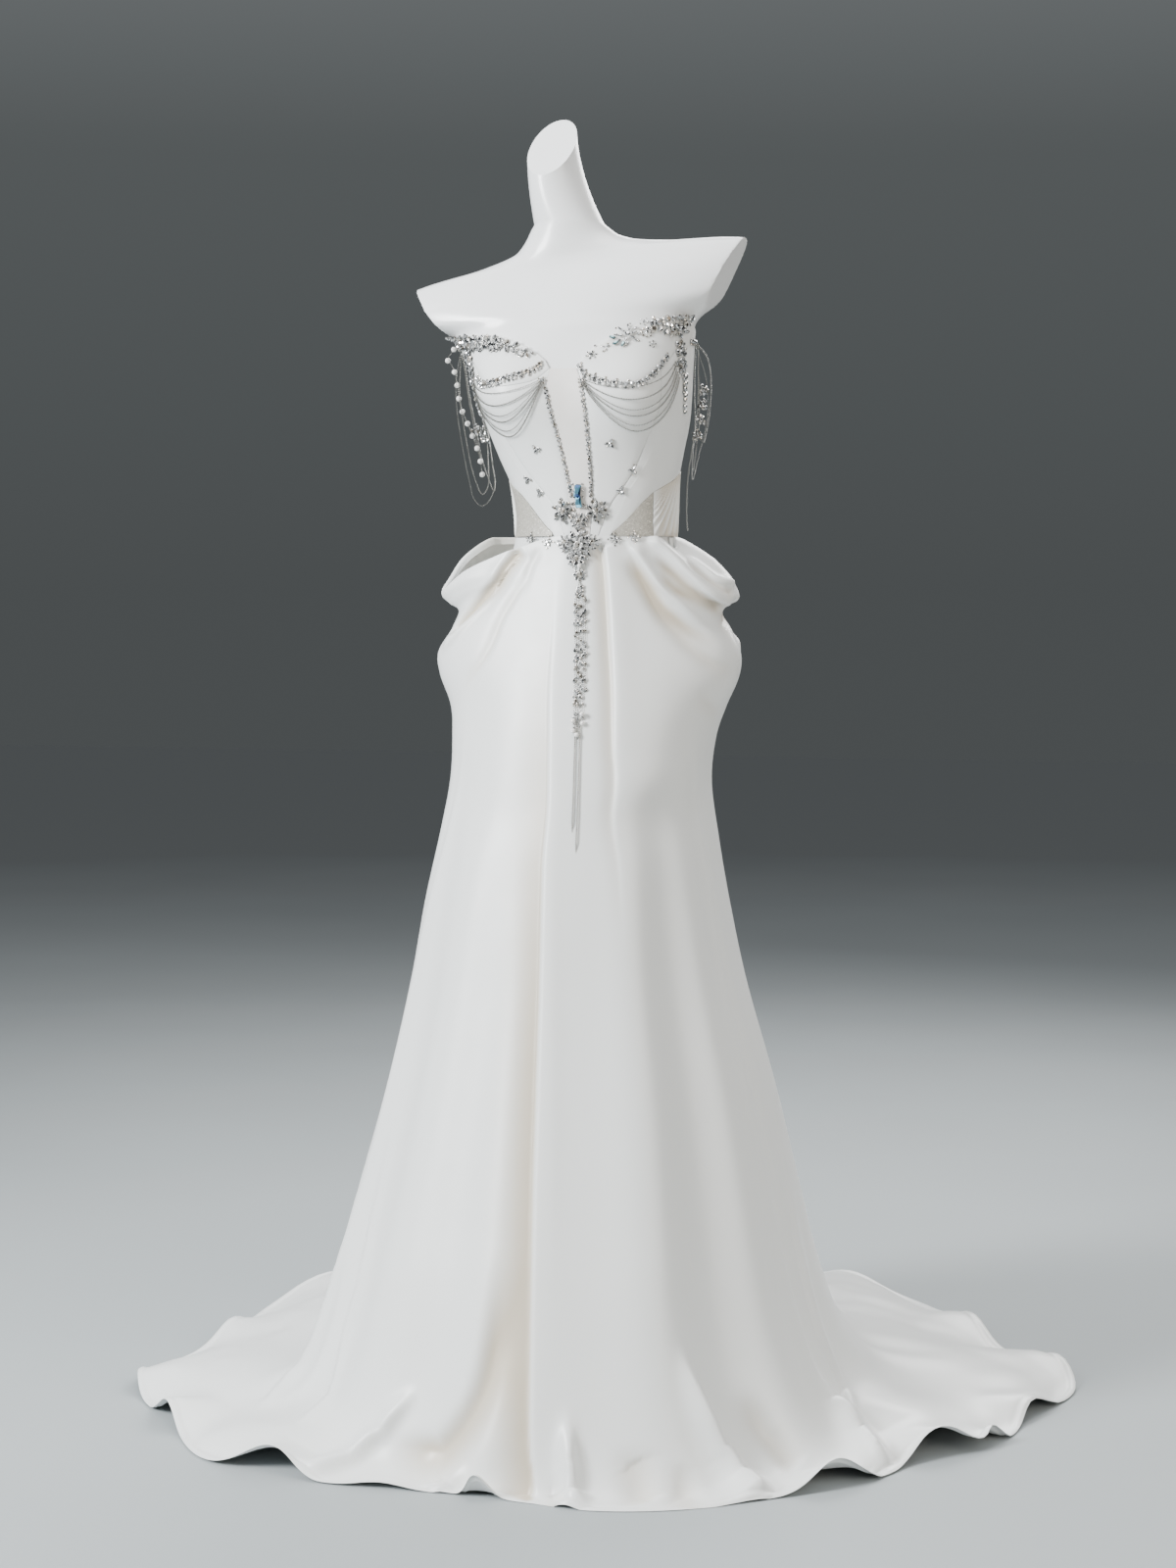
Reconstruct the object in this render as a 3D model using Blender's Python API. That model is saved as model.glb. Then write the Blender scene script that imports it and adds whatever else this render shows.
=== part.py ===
"""Strapless wedding dress with draped hips and a train, on a limbless dress form.

Metres, +Z up. The front of the dress faces -Y and its wearer's left is +X.
The origin is the middle of the stand plate's underside, on the floor.
"""
import math

import bmesh
import bpy
from mathutils import Vector

# Driving sizes of the form and its stand
waist_height = 1.19
form_bottom = 0.90
neck_cut_centre = (-0.050, 0.003)
neck_cut_half_width = 0.033
neck_cut_level = 1.7125
neck_cut_slope = (0.19, 1.13)
shoulder_tilt = 0.13
arm_cut_start = 1.46
arm_cuts = ((-0.186, -0.56), (0.152, 0.64))
pole_radius = 0.016
plate_radius = 0.17
plate_thickness = 0.012

# Driving sizes of the cloth
cloth = 0.002
form_gap = 0.0016
seam_gap = 0.0003
yoke_gap = 0.0008
tassel_gap = 0.0006
tassel_ends = (0.935, 0.800, 0.925, 0.772, 0.945, 0.805)
tassel_head_across = 0.0130
tassel_foot_across = 0.0250
form_shrink = 0.0005
on_panel = form_gap + cloth + 0.0006
side_seam = 100.0
floor_clearance = 0.0022

# Form sections: height, centre x, centre y, half width, front depth, back depth
form_sections = (
    (0.900, 0.005, 0.000, 0.136, 0.096, 0.112),
    (1.000, 0.006, 0.000, 0.143, 0.100, 0.116),
    (1.080, 0.008, 0.000, 0.133, 0.094, 0.102),
    (1.140, 0.010, 0.000, 0.117, 0.086, 0.084),
    (1.190, 0.0115, 0.000, 0.1065, 0.081, 0.075),
    (1.220, 0.0115, 0.000, 0.1055, 0.080, 0.074),
    (1.260, 0.009, 0.000, 0.111, 0.083, 0.078),
    (1.300, 0.004, 0.000, 0.123, 0.088, 0.084),
    (1.340, 0.000, 0.000, 0.135, 0.092, 0.090),
    (1.380, -0.006, 0.000, 0.144, 0.092, 0.094),
    (1.420, -0.011, 0.000, 0.151, 0.088, 0.096),
    (1.460, -0.017, 0.003, 0.162, 0.080, 0.096),
    (1.475, -0.018, 0.005, 0.181, 0.075, 0.093),
    (1.492, -0.018, 0.006, 0.232, 0.068, 0.090),
    (1.520, -0.018, 0.009, 0.262, 0.058, 0.082),
    (1.547, -0.019, 0.011, 0.250, 0.047, 0.064),
    (1.558, -0.020, 0.012, 0.205, 0.044, 0.056),
    (1.565, -0.022, 0.012, 0.140, 0.043, 0.052),
    (1.578, -0.025, 0.012, 0.080, 0.044, 0.051),
    (1.605, -0.028, 0.010, 0.047, 0.045, 0.048),
)
bust_height = 1.375
bust_angle = 0.62
bust_rise = 0.030

# Skirt stations down the cloth: front height, front depth, side height, half width to -X,
# half width to +X, back height, back depth, ease over the form where the drape is sewn down
skirt_stations = (
    (1.1868, 0.084, 1.186, 0.157, 0.141, 1.1868, 0.078, 0.002),
    (1.180, 0.0858, 1.160, 0.181, 0.172, 1.160, 0.086, 0.006),
    (1.172, 0.0876, 1.134, 0.194, 0.196, 1.130, 0.095, 0.008),
    (1.162, 0.0900, 1.112, 0.204, 0.203, 1.100, 0.105, 0.010),
    (1.151, 0.0925, 1.099, 0.193, 0.195, 1.085, 0.110, 0.012),
    (1.138, 0.0955, 1.088, 0.179, 0.188, 1.070, 0.117, 0.013),
    (1.116, 0.1003, 1.062, 0.190, 0.197, 1.040, 0.127, 0.014),
    (1.086, 0.107, 1.032, 0.208, 0.208, 1.010, 0.136, 0.016),
    (1.044, 0.117, 1.002, 0.205, 0.205, 0.980, 0.143, 0.020),
    (0.985, 0.131, 0.961, 0.189, 0.187, 0.940, 0.152, 0.030),
    (0.925, 0.144, 0.921, 0.186, 0.173, 0.900, 0.163, 0.036),
    (0.860, 0.156, 0.862, 0.188, 0.166, 0.840, 0.181, 0.040),
    (0.790, 0.170, 0.790, 0.201, 0.174, 0.770, 0.203, 0.0),
    (0.700, 0.190, 0.700, 0.220, 0.188, 0.680, 0.235, 0.0),
    (0.590, 0.215, 0.590, 0.238, 0.210, 0.560, 0.278, 0.0),
    (0.455, 0.250, 0.455, 0.267, 0.247, 0.420, 0.328, 0.0),
    (0.320, 0.290, 0.320, 0.301, 0.279, 0.280, 0.378, 0.0),
    (0.210, 0.325, 0.210, 0.331, 0.305, 0.170, 0.418, 0.0),
    (0.110, 0.352, 0.110, 0.354, 0.338, 0.085, 0.458, 0.0),
    (0.040, 0.372, 0.042, 0.382, 0.372, 0.036, 0.500, 0.0),
)
last_hugging_station = 11
pool_steps = (0.25, 0.52, 0.78, 1.0)

# Hem outline on the floor: angle from the front, radius
hem_outline = (
    (-180, 0.720), (-134, 0.723), (-126, 0.729), (-110, 0.639), (-99, 0.626), (-86, 0.644),
    (-66, 0.566), (-50, 0.546), (-37, 0.488), (-19, 0.420), (-8, 0.400), (4, 0.405),
    (14, 0.425), (32, 0.439), (43, 0.443), (61, 0.478), (75, 0.492), (84, 0.560),
    (97, 0.600), (111, 0.690), (129, 0.664), (155, 0.750), (180, 0.720),
)
fold_count = 11
pool_folds = 9
pool_rise = 0.020
train_rise = 0.034

# Bodice lines on the form, +X half: angle from the front, height
waist_seam = waist_height - 0.0025
plunge_line = ((6.0, waist_seam), (8.3, 1.235), (9.0, 1.32), (9.0, 1.385), (7.0, 1.405))
princess_line = ((12.0, waist_seam), (20.5, 1.2275), (33.0, 1.259), (40.0, 1.283), (46.0, 1.324),
                 (49.0, 1.362), (50.0, 1.404))
undercup_inner = ((7.0, 1.405), (13.7, 1.3915), (20.3, 1.386), (32.3, 1.383), (39.0, 1.388),
                  (50.0, 1.404))
undercup_outer = ((50.0, 1.404), (56.0, 1.414), (63.0, 1.427), (70.0, 1.440))
cup_end = ((70.0, 1.440), (71.5, 1.466))
cup_neckline = ((9.0, 1.416), (14.0, 1.428), (20.0, 1.439), (28.0, 1.452), (38.0, 1.460), (46.0, 1.463),
                (58.0, 1.468), (71.5, 1.466))
side_neckline = ((71.5, 1.466), (85.0, 1.458), (side_seam, 1.450))
back_neckline = ((side_seam, 1.450), (125.0, 1.435), (155.0, 1.420), (180.0, 1.415))
plunge_band = ((8.8, 1.274), (10.0, 1.30), (10.4, 1.365))
side_band = ((74.0, 1.434), (76.5, 1.405), (77.0, 1.350))
sprig_places = ((22.5, 1.305), (38.0, 1.2705), (29.5, 1.2445))
waist_motif_angles = (26.0, 41.0)
motif_radius = 0.0058
brooch_centre = (-1.5, 1.197)
swag_ends = ((11.5, 1.381), (64.0, 1.408))
swag_depths = (0.026, 0.041, 0.055, 0.066)
yoke_angles = {"left": (42.0, 128.0), "right": (74.0, 128.0)}
yoke_heights = (1.060, waist_seam - 0.001)
pleat_count = 5
pleat_depth = 0.0022
v_tip = ((12.0, waist_seam), (20.0, waist_seam + 0.0002), (22.0, waist_seam + 0.005))
v_line = ((22.0, waist_seam + 0.005), (32.0, 1.208), (44.0, 1.230), (55.0, 1.246), (70.0, 1.257),
          (80.0, 1.2635), (85.0, 1.267), (side_seam, 1.276))
v_splits = {"left": 5, "right": 3}

# Strings of each arm drape: radius, steps, then stations of (angle, height, distance off the form)
drape_bar_angles = (80.0, 112.0)
drape_bar_heights = (1.437, 1.443)
arm_drapes = {
    "left": (
        (0.0011, 14, ((82.0, 1.440, 0.008), (82.0, 1.410, 0.022), (82.0, 1.360, 0.037), (81.0, 1.310, 0.048),
                      (79.0, 1.262, 0.057), (76.0, 1.238, 0.047), (80.0, 1.262, 0.026), (92.0, 1.320, 0.012),
                      (96.0, 1.380, 0.009), (97.0, 1.440, 0.008))),
        (0.0024, 10, ((86.0, 1.440, 0.008), (87.0, 1.405, 0.016), (88.0, 1.360, 0.026), (88.0, 1.310, 0.036),
                      (88.0, 1.262, 0.040))),
        (0.0011, 12, ((92.0, 1.440, 0.008), (92.0, 1.370, 0.018), (92.0, 1.300, 0.031), (94.0, 1.262, 0.034),
                      (100.0, 1.290, 0.028), (106.0, 1.370, 0.014), (109.0, 1.440, 0.008))),
    ),
    "right": (
        (0.0011, 12, ((83.0, 1.440, 0.008), (90.0, 1.405, 0.020), (98.0, 1.360, 0.025),
                      (104.0, 1.310, 0.024), (106.0, 1.268, 0.022), (108.0, 1.310, 0.016),
                      (109.0, 1.380, 0.009), (109.0, 1.440, 0.008))),
        (0.0020, 8, ((102.0, 1.440, 0.008), (103.0, 1.420, 0.024), (104.0, 1.380, 0.029),
                     (104.0, 1.320, 0.027))),
        (0.0011, 9, ((97.0, 1.440, 0.008), (98.0, 1.380, 0.011), (100.0, 1.300, 0.013), (101.0, 1.240, 0.016),
                     (101.0, 1.196, 0.018))),
    ),
}

# Finish of each cloth or metal: base colour, roughness, metallic
finishes = {
    "form_gloss": ((0.95, 0.96, 0.96), 0.25, 0.0),
    "stand_metal": ((0.62, 0.63, 0.64), 0.30, 1.0),
    "satin": ((0.84, 0.86, 0.85), 0.38, 0.0),
    "sheer": ((0.82, 0.78, 0.73), 0.55, 0.0),
    "mesh": ((0.66, 0.62, 0.57), 0.60, 0.0),
    "crystal": ((0.78, 0.78, 0.79), 0.12, 0.6),
}


def clear_scene():
    for item in list(bpy.data.objects):
        bpy.data.objects.remove(item, do_unlink=True)


def blend(a, b, share):
    return a + (b - a) * share


def smooth_step(low, high, value):
    share = min(max((value - low) / (high - low), 0.0), 1.0)
    return share * share * (3 - 2 * share)


def bell(value, centre, width):
    return math.exp(-((value - centre) / width) ** 2)


def read_table(table, key):
    """Values of a table at a key in its first column, on a smooth curve through the rows."""
    last = len(table) - 1
    row = 0
    while row < last - 1 and key > table[row + 1][0]:
        row += 1
    low, high = table[row], table[row + 1]
    before, after = table[max(row - 1, 0)], table[min(row + 2, last)]
    span = high[0] - low[0]
    share = min(max((key - low[0]) / span, 0.0), 1.0)
    values = []
    for column in range(1, len(low)):
        slope_low = (high[column] - before[column]) / (high[0] - before[0])
        slope_high = (after[column] - low[column]) / (after[0] - low[0])
        values.append((2 * share ** 3 - 3 * share ** 2 + 1) * low[column]
                      + (share ** 3 - 2 * share ** 2 + share) * span * slope_low
                      + (3 * share ** 2 - 2 * share ** 3) * high[column]
                      + (share ** 3 - share ** 2) * span * slope_high)
    return values


def sample_line(line, steps):
    """Points at even distances along a line of (angle, height) points, both ends included."""
    reach = [0.0]
    for start, end in zip(line, line[1:]):
        reach.append(reach[-1] + math.hypot((end[0] - start[0]) * 0.002, end[1] - start[1]))
    points = []
    for step in range(steps + 1):
        wanted = reach[-1] * step / steps
        part = 0
        while part < len(line) - 2 and wanted > reach[part + 1]:
            part += 1
        share = (wanted - reach[part]) / (reach[part + 1] - reach[part])
        points.append((blend(line[part][0], line[part + 1][0], share),
                       blend(line[part][1], line[part + 1][1], share)))
    return points


def join_lines(*lines):
    joined = list(lines[0])
    for line in lines[1:]:
        joined += line[1:]
    return joined


def mirror_line(line):
    return [(-angle, height) for angle, height in line]


def form_point(angle, height):
    """Point on the form's skin, angle in degrees from the front towards +X."""
    centre_x, centre_y, half_width, front, back = read_table(form_sections, height)
    turn = math.radians(angle)
    side, ahead = math.sin(turn), math.cos(turn)
    rise = sum(bell(turn, place, 0.42) for place in (-bust_angle, bust_angle))
    rise *= bust_rise * bell(height, bust_height, 0.05)
    x = centre_x + half_width * side + 0.7 * rise * side
    y = centre_y - (front if ahead > 0 else back) * ahead - rise * max(ahead, 0.0)
    tilt = shoulder_tilt * min(max((height - 1.42) / 0.10, 0.0), 1.0)
    tilt *= 1 - min(max((height - 1.58) / 0.025, 0.0), 1.0)
    return Vector((x, y, height + tilt * x))


def surface_normal(surface, angle, height):
    across = surface(angle + 0.5, height) - surface(angle - 0.5, height)
    upward = surface(angle, height + 0.001) - surface(angle, height - 0.001)
    return across.cross(upward).normalized()


def on_form(angle, height, lift):
    return form_point(angle, height) + surface_normal(form_point, angle, height) * lift


def material_for(finish):
    found = bpy.data.materials.get(finish)
    if found:
        return found
    colour, roughness, metallic = finishes[finish]
    material = bpy.data.materials.new(finish)
    material.use_nodes = True
    shader = material.node_tree.nodes["Principled BSDF"]
    shader.inputs["Base Color"].default_value = (*colour, 1.0)
    shader.inputs["Roughness"].default_value = roughness
    shader.inputs["Metallic"].default_value = metallic
    return material


def make_object(name, points, faces, finish):
    mesh = bpy.data.meshes.new(name)
    mesh.from_pydata([tuple(point) for point in points], [], faces)
    shape = bmesh.new()
    shape.from_mesh(mesh)
    bmesh.ops.recalc_face_normals(shape, faces=shape.faces)
    shape.to_mesh(mesh)
    shape.free()
    mesh.materials.append(material_for(finish))
    mesh.shade_smooth()
    item = bpy.data.objects.new(name, mesh)
    bpy.context.collection.objects.link(item)
    return item


def make_wall(name, outer, inner, finish, cells=None):
    """Closed wall between two grids of points; cells says which grid squares are cloth.

    Each square is split along its shorter diagonal, the same one on both sides of the cloth.
    """
    rows, columns = len(outer), len(outer[0])
    if cells is None:
        cells = {(row, column) for row in range(rows - 1) for column in range(columns - 1)}
    index = {}
    points = []

    def vertex(layer, row, column):
        key = (layer, row, column)
        if key not in index:
            index[key] = len(points)
            points.append((outer if layer == 0 else inner)[row][column])
        return index[key]

    faces = []
    for row, column in sorted(cells):
        corners = ((row, column), (row, column + 1), (row + 1, column + 1), (row + 1, column))
        beside = ((row - 1, column), (row, column + 1), (row + 1, column), (row, column - 1))
        over = [vertex(0, *corner) for corner in corners]
        under = [vertex(1, *corner) for corner in corners]
        spans = [(points[over[first]] - points[over[first + 2]]).length for first in (0, 1)]
        halves = ((0, 1, 2), (0, 2, 3)) if spans[0] < spans[1] else ((0, 1, 3), (1, 2, 3))
        for a, b, c in halves:
            faces.append([over[a], over[b], over[c]])
            faces.append([under[c], under[b], under[a]])
        for start, end, neighbour in zip(corners, corners[1:] + corners[:1], beside):
            if neighbour not in cells:
                faces.append([vertex(0, *end), vertex(0, *start), vertex(1, *start), vertex(1, *end)])
    return make_object(name, points, faces, finish)


def draw_in(grid, distance):
    """Moves a grid's edge points inwards, which leaves the gap at a seam."""
    rows, columns = len(grid), len(grid[0])
    moved = [list(row) for row in grid]
    for row in range(rows):
        for column in range(columns):
            next_row = min(max(row, 1), rows - 2)
            next_column = min(max(column, 1), columns - 2)
            for target in ((next_row, column), (row, next_column)):
                step = grid[target[0]][target[1]] - grid[row][column]
                if step.length > 0:
                    moved[row][column] = moved[row][column] + step.normalized() * distance
    return moved


def fill_patch(bottom, right, top, left):
    """Grid of (angle, height) points between four edges that share their corners."""
    columns, rows = len(bottom) - 1, len(left) - 1
    grid = []
    for row in range(rows + 1):
        v = row / rows
        line = []
        for column in range(columns + 1):
            u = column / columns
            point = []
            for axis in (0, 1):
                edges = blend(bottom[column][axis], top[column][axis], v)
                sides = blend(left[row][axis], right[row][axis], u)
                corners = blend(blend(bottom[0][axis], bottom[-1][axis], u),
                                blend(top[0][axis], top[-1][axis], u), v)
                point.append(edges + sides - corners)
            line.append(tuple(point))
        grid.append(line)
    return grid


def straight_patch(line, angles, heights, columns, rows):
    """Patch between two angles and two heights."""
    (low_angle, high_angle), (low, high) = angles, heights
    return fill_patch(line(((low_angle, low), (high_angle, low)), columns),
                      line(((high_angle, low), (high_angle, high)), rows),
                      line(((low_angle, high), (high_angle, high)), columns),
                      line(((low_angle, low), (low_angle, high)), rows))


def make_panel(name, patch, finish, gap=seam_gap, lift=form_gap, thickness=cloth, relief=None):
    """Cloth wall on the form over a patch; relief adds height to its outer or whole surface."""
    rows, columns = len(patch) - 1, len(patch[0]) - 1
    outer, inner = [], []
    for row, line in enumerate(patch):
        outer_line, inner_line = [], []
        for column, (angle, height) in enumerate(line):
            whole, face = relief(column / columns, row / rows) if relief else (0.0, 0.0)
            inner_line.append(on_form(angle, height, lift + whole))
            outer_line.append(on_form(angle, height, lift + whole + thickness + face))
        outer.append(outer_line)
        inner.append(inner_line)
    return make_wall(name, draw_in(outer, gap / 2 + 0.0001), draw_in(inner, gap / 2 + 0.0001), finish)


def make_strip(name, line, width, steps, finish, thickness=0.0022, bead=0.0016, lift=on_panel):
    """Raised crystal band of a given width along a line on the form."""
    centre = sample_line(line, steps)
    patch = []
    for share in (-0.5, 0.0, 0.5):
        edge = []
        for place, (angle, height) in enumerate(centre):
            ahead = centre[min(place + 1, steps)]
            behind = centre[max(place - 1, 0)]
            run = Vector(((ahead[0] - behind[0]) * 0.0021, ahead[1] - behind[1])).normalized()
            edge.append((angle - run.y * width * share / 0.0021, height + run.x * width * share))
        patch.append(edge)

    def relief(u, v):
        return 0.0, bead * (0.5 + 0.5 * math.cos(math.pi * u * steps)) * (1.0 if v == 0.5 else 0.3)

    return make_panel(name, patch, finish, 0.0, lift, thickness, relief)


def make_badge(name, centre, outline, petals, finish, thickness, dome, rings=3, sides=18, place=on_form):
    """Domed ornament on a surface; outline(turn) gives (across, up) of its edge in metres."""
    angle, height = centre
    points, faces = [], []

    def add(across, up, lift):
        points.append(place(angle + math.degrees(across / 0.1), height + up, lift))
        return len(points) - 1

    turns = [2 * math.pi * side / sides for side in range(sides)]
    crown, base = [], []
    for level in range(rings + 1):
        share = 1 - level / (rings + 0.6)
        crown_ring, base_ring = [], []
        for turn in turns:
            across, up = outline(turn)
            stone = dome * math.sin(math.pi * level / rings * 0.5)
            stone *= 0.75 + 0.25 * math.cos(petals * turn + level * 2.1)
            crown_ring.append(add(across * share, up * share, on_panel + thickness + stone))
            base_ring.append(add(across * share, up * share, on_panel))
        crown.append(crown_ring)
        base.append(base_ring)
    top = add(0.0, 0.0, on_panel + thickness + dome)
    bottom = add(0.0, 0.0, on_panel)
    for side in range(sides):
        after = (side + 1) % sides
        faces.append([base[0][side], base[0][after], crown[0][after], crown[0][side]])
        faces.append([base[-1][after], base[-1][side], bottom])
        faces.append([crown[-1][side], crown[-1][after], top])
        for level in range(rings):
            faces.append([crown[level][side], crown[level][after],
                          crown[level + 1][after], crown[level + 1][side]])
            faces.append([base[level + 1][side], base[level + 1][after],
                          base[level][after], base[level][side]])
    return make_object(name, points, faces, finish)


def make_tube(name, path, radius, finish, sides=3):
    """Thin closed bar of a few sides along a path of points."""
    points, faces = [], []
    for place, point in enumerate(path):
        run = (path[min(place + 1, len(path) - 1)] - path[max(place - 1, 0)]).normalized()
        across = run.cross(Vector((0.31, 0.87, 0.38))).normalized()
        other = run.cross(across)
        for side in range(sides):
            turn = 2 * math.pi * side / sides
            points.append(point + (across * math.cos(turn) + other * math.sin(turn)) * radius)
    for place in range(len(path) - 1):
        for side in range(sides):
            start, after = place * sides, (side + 1) % sides
            faces.append([start + side, start + after, start + sides + after, start + sides + side])
    faces.append(list(range(sides)))
    faces.append([len(points) - 1 - side for side in range(sides)])
    return make_object(name, points, faces, finish)


def unite(body, additions):
    """Joins pieces that reach into a body, so that they make one solid."""
    for addition in additions:
        join = body.modifiers.new("join", 'BOOLEAN')
        join.operation = 'UNION'
        join.solver = 'EXACT'
        join.object = addition
        addition.hide_render = True
        addition.display_type = 'WIRE'
    return body


def hem_radius(angle):
    return read_table(hem_outline, angle)[0]


def sling_share(angle):
    """How far the hip drape has left the waist seam: 0 at front and back, 1 at the sides."""
    wide = abs(angle)
    leaves = smooth_step(25, 88, wide) if angle > 0 else smooth_step(12, 55, wide)
    return leaves * (1 - smooth_step(118, 158, wide))


def rim_dip(angle):
    return 0.034 * bell(angle, -50, 20) + 0.020 * bell(angle, 70, 16)


def fold_height(angle, station):
    """Soft folds that grow towards the hem, shallow at the front."""
    growth = smooth_step(9, 18, station)
    calm = 1 - 0.7 * bell(angle, 8, 34)
    uneven = 1 + 0.3 * math.sin(math.radians(angle) * 2 + 0.8)
    return 0.011 * growth * calm * uneven * math.cos(math.radians(angle) * fold_count + 0.6)


def fall_point(angle, station):
    """Point on the falling part of the skirt at a station counted down the cloth."""
    (front_height, front, side_height, left, right,
     back_height, back, ease) = skirt_stations[station]
    turn = math.radians(angle)
    side, ahead = math.sin(turn), math.cos(turn)
    end_height = front_height if ahead > 0 else back_height
    end_depth = front if ahead > 0 else back
    height = blend(end_height, side_height, side * side)
    if station < 4:
        height -= rim_dip(angle) * (1 - station / 4) ** 1.5
    reach = (left if side < 0 else right) + fold_height(angle, station)
    depth = end_depth + fold_height(angle, station)
    point = Vector((reach * side, -depth * ahead, height))
    if station <= last_hugging_station:
        centre_x, centre_y, half_width, _, _ = read_table(form_sections, max(height, form_bottom))
        hugging = Vector((centre_x + (half_width + ease) * side, point.y, height))
        point = hugging.lerp(point, sling_share(angle))
    if station == 0:
        sewn = on_form(angle, waist_seam + 0.0001, form_gap + cloth / 2)
        point = sewn.lerp(point, sling_share(angle))
    return point


def skirt_point(angle, station):
    """Middle of the skirt's cloth: it falls to the floor and then spreads to the hem."""
    falling = len(skirt_stations) - 1
    if station <= falling:
        return fall_point(angle, station)
    foot = fall_point(angle, falling)
    share = pool_steps[station - falling - 1]
    flat = Vector((foot.x, foot.y, 0.0))
    heading = math.degrees(math.atan2(foot.x, -foot.y))
    radius = blend(flat.length, hem_radius(heading), share)
    spread = smooth_step(0.03, 0.20, hem_radius(heading) - flat.length)
    waves = 0.5 + 0.5 * math.sin(math.radians(heading) * pool_folds + share * 4.0)
    ripple = spread * (train_rise + pool_rise * waves) * math.sin(math.pi * min(share * 0.9 + 0.09, 1.0))
    settled = blend(foot.z, floor_clearance, smooth_step(0.0, 0.40, share))
    direction = flat.normalized()
    return Vector((direction.x * radius, direction.y * radius, settled + ripple))


def make_skirt_panel(name, edge_low, edge_high, columns, finish="satin"):
    """Skirt panel between two seams, each a function from station to angle."""
    last = len(skirt_stations) - 1 + len(pool_steps)
    middle, normals = [], []
    for station in range(last + 1):
        line, line_normals = [], []
        for column in range(columns + 1):
            angle = blend(edge_low(station), edge_high(station), column / columns)
            line.append(skirt_point(angle, station))
            across = skirt_point(angle + 0.6, station) - skirt_point(angle - 0.6, station)
            down = skirt_point(angle, min(station + 1, last)) - skirt_point(angle, max(station - 1, 0))
            normal = down.cross(across).normalized()
            if station == 0:
                normal = Vector((normal.x, normal.y, 0.0)).normalized()
            line_normals.append(normal)
        middle.append(line)
        normals.append(line_normals)
    middle = draw_in(middle, seam_gap / 2 + 0.0001)
    outer, inner = [], []
    for line, line_normals in zip(middle, normals):
        outer.append([point + normal * cloth / 2 for point, normal in zip(line, line_normals)])
        inner.append([point - normal * cloth / 2 for point, normal in zip(line, line_normals)])
    return make_wall(name, outer, inner, finish)


def front_seam_low(station):
    return blend(-19.0, -7.0, smooth_step(0, 9, station)) + 6.0 * smooth_step(9, 22, station)


def front_seam_high(station):
    return blend(13.0, 25.0, smooth_step(0, 9, station)) + 2.0 * smooth_step(9, 22, station)


def back_seam(station):
    return blend(126.0, 108.0, smooth_step(0, 14, station))


def build_form():
    sides = 32
    heights = (0.900, 0.95, 1.00, 1.05, 1.10, 1.14, 1.17, 1.195, 1.22, 1.245, 1.27, 1.295, 1.32,
               1.34, 1.36, 1.375, 1.39, 1.41, 1.43, 1.445, 1.46, 1.47, 1.48, 1.495, 1.525, 1.545, 1.557,
               1.565, 1.578, 1.605)
    neck_steps = 5
    points, faces = [], []
    for height in heights:
        low_limit, high_limit = [foot + slope * max(height - arm_cut_start, 0.0) for foot, slope in arm_cuts]
        for side in range(sides):
            point = on_form(360 * side / sides, height, -form_shrink)
            if height > arm_cut_start:
                clipped = min(max(point.x, low_limit), high_limit)
                point.z += (clipped - point.x) * shoulder_tilt * min((height - 1.42) / 0.10, 1.0)
                point.x = clipped
            points.append(point)
    foot = [points[len(points) - sides + side].copy() for side in range(sides)]
    for step in range(1, neck_steps + 1):
        share = step / neck_steps
        for side in range(sides):
            turn = 2 * math.pi * side / sides
            top_x = neck_cut_centre[0] + neck_cut_half_width * math.sin(turn)
            top_y = neck_cut_centre[1] - neck_cut_half_width * 1.1 * math.cos(turn)
            top_z = neck_cut_level + neck_cut_slope[0] * top_x + neck_cut_slope[1] * top_y
            narrowing = 1 - (1 - share) ** 1.7
            points.append(Vector((blend(foot[side].x, top_x, narrowing),
                                  blend(foot[side].y, top_y, narrowing),
                                  blend(foot[side].z, top_z, share))))
    rows = len(heights) + neck_steps
    for row in range(rows - 1):
        for side in range(sides):
            after = (side + 1) % sides
            faces.append([row * sides + side, row * sides + after,
                          (row + 1) * sides + after, (row + 1) * sides + side])
    faces.append([side for side in reversed(range(sides))])
    faces.append([(rows - 1) * sides + side for side in range(sides)])
    make_object("form_body", points, faces, "form_gloss")


def make_round(name, rings, sides, finish):
    """Turned piece about the upright axis from (radius, height) rings."""
    points = [Vector((radius * math.cos(2 * math.pi * side / sides),
                      radius * math.sin(2 * math.pi * side / sides), height))
              for radius, height in rings for side in range(sides)]
    faces = []
    for row in range(len(rings) - 1):
        for side in range(sides):
            after = (side + 1) % sides
            faces.append([row * sides + side, row * sides + after,
                          (row + 1) * sides + after, (row + 1) * sides + side])
    faces.append([side for side in reversed(range(sides))])
    faces.append([(len(rings) - 1) * sides + side for side in range(sides)])
    return make_object(name, points, faces, finish)


def build_stand():
    edge = 0.003
    make_round("stand_plate", ((plate_radius, 0.0), (plate_radius, plate_thickness - edge),
                               (plate_radius - edge, plate_thickness)), 40, "stand_metal")
    foot = plate_thickness + seam_gap
    make_round("stand_pole", ((pole_radius * 2, foot), (pole_radius * 2, foot + 0.02),
                              (pole_radius, foot + 0.03), (pole_radius, form_bottom - 0.0002)),
               16, "stand_metal")


def side_pleat(u, v):
    """Soft upright pleats of the side panels, flat at their seams."""
    fade = math.sqrt(max(math.sin(math.pi * u), 0.0) * max(math.sin(math.pi * v), 0.0))
    return pleat_depth / 2 * fade * (1 + math.cos(2 * math.pi * pleat_count * u)), 0.0


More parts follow.
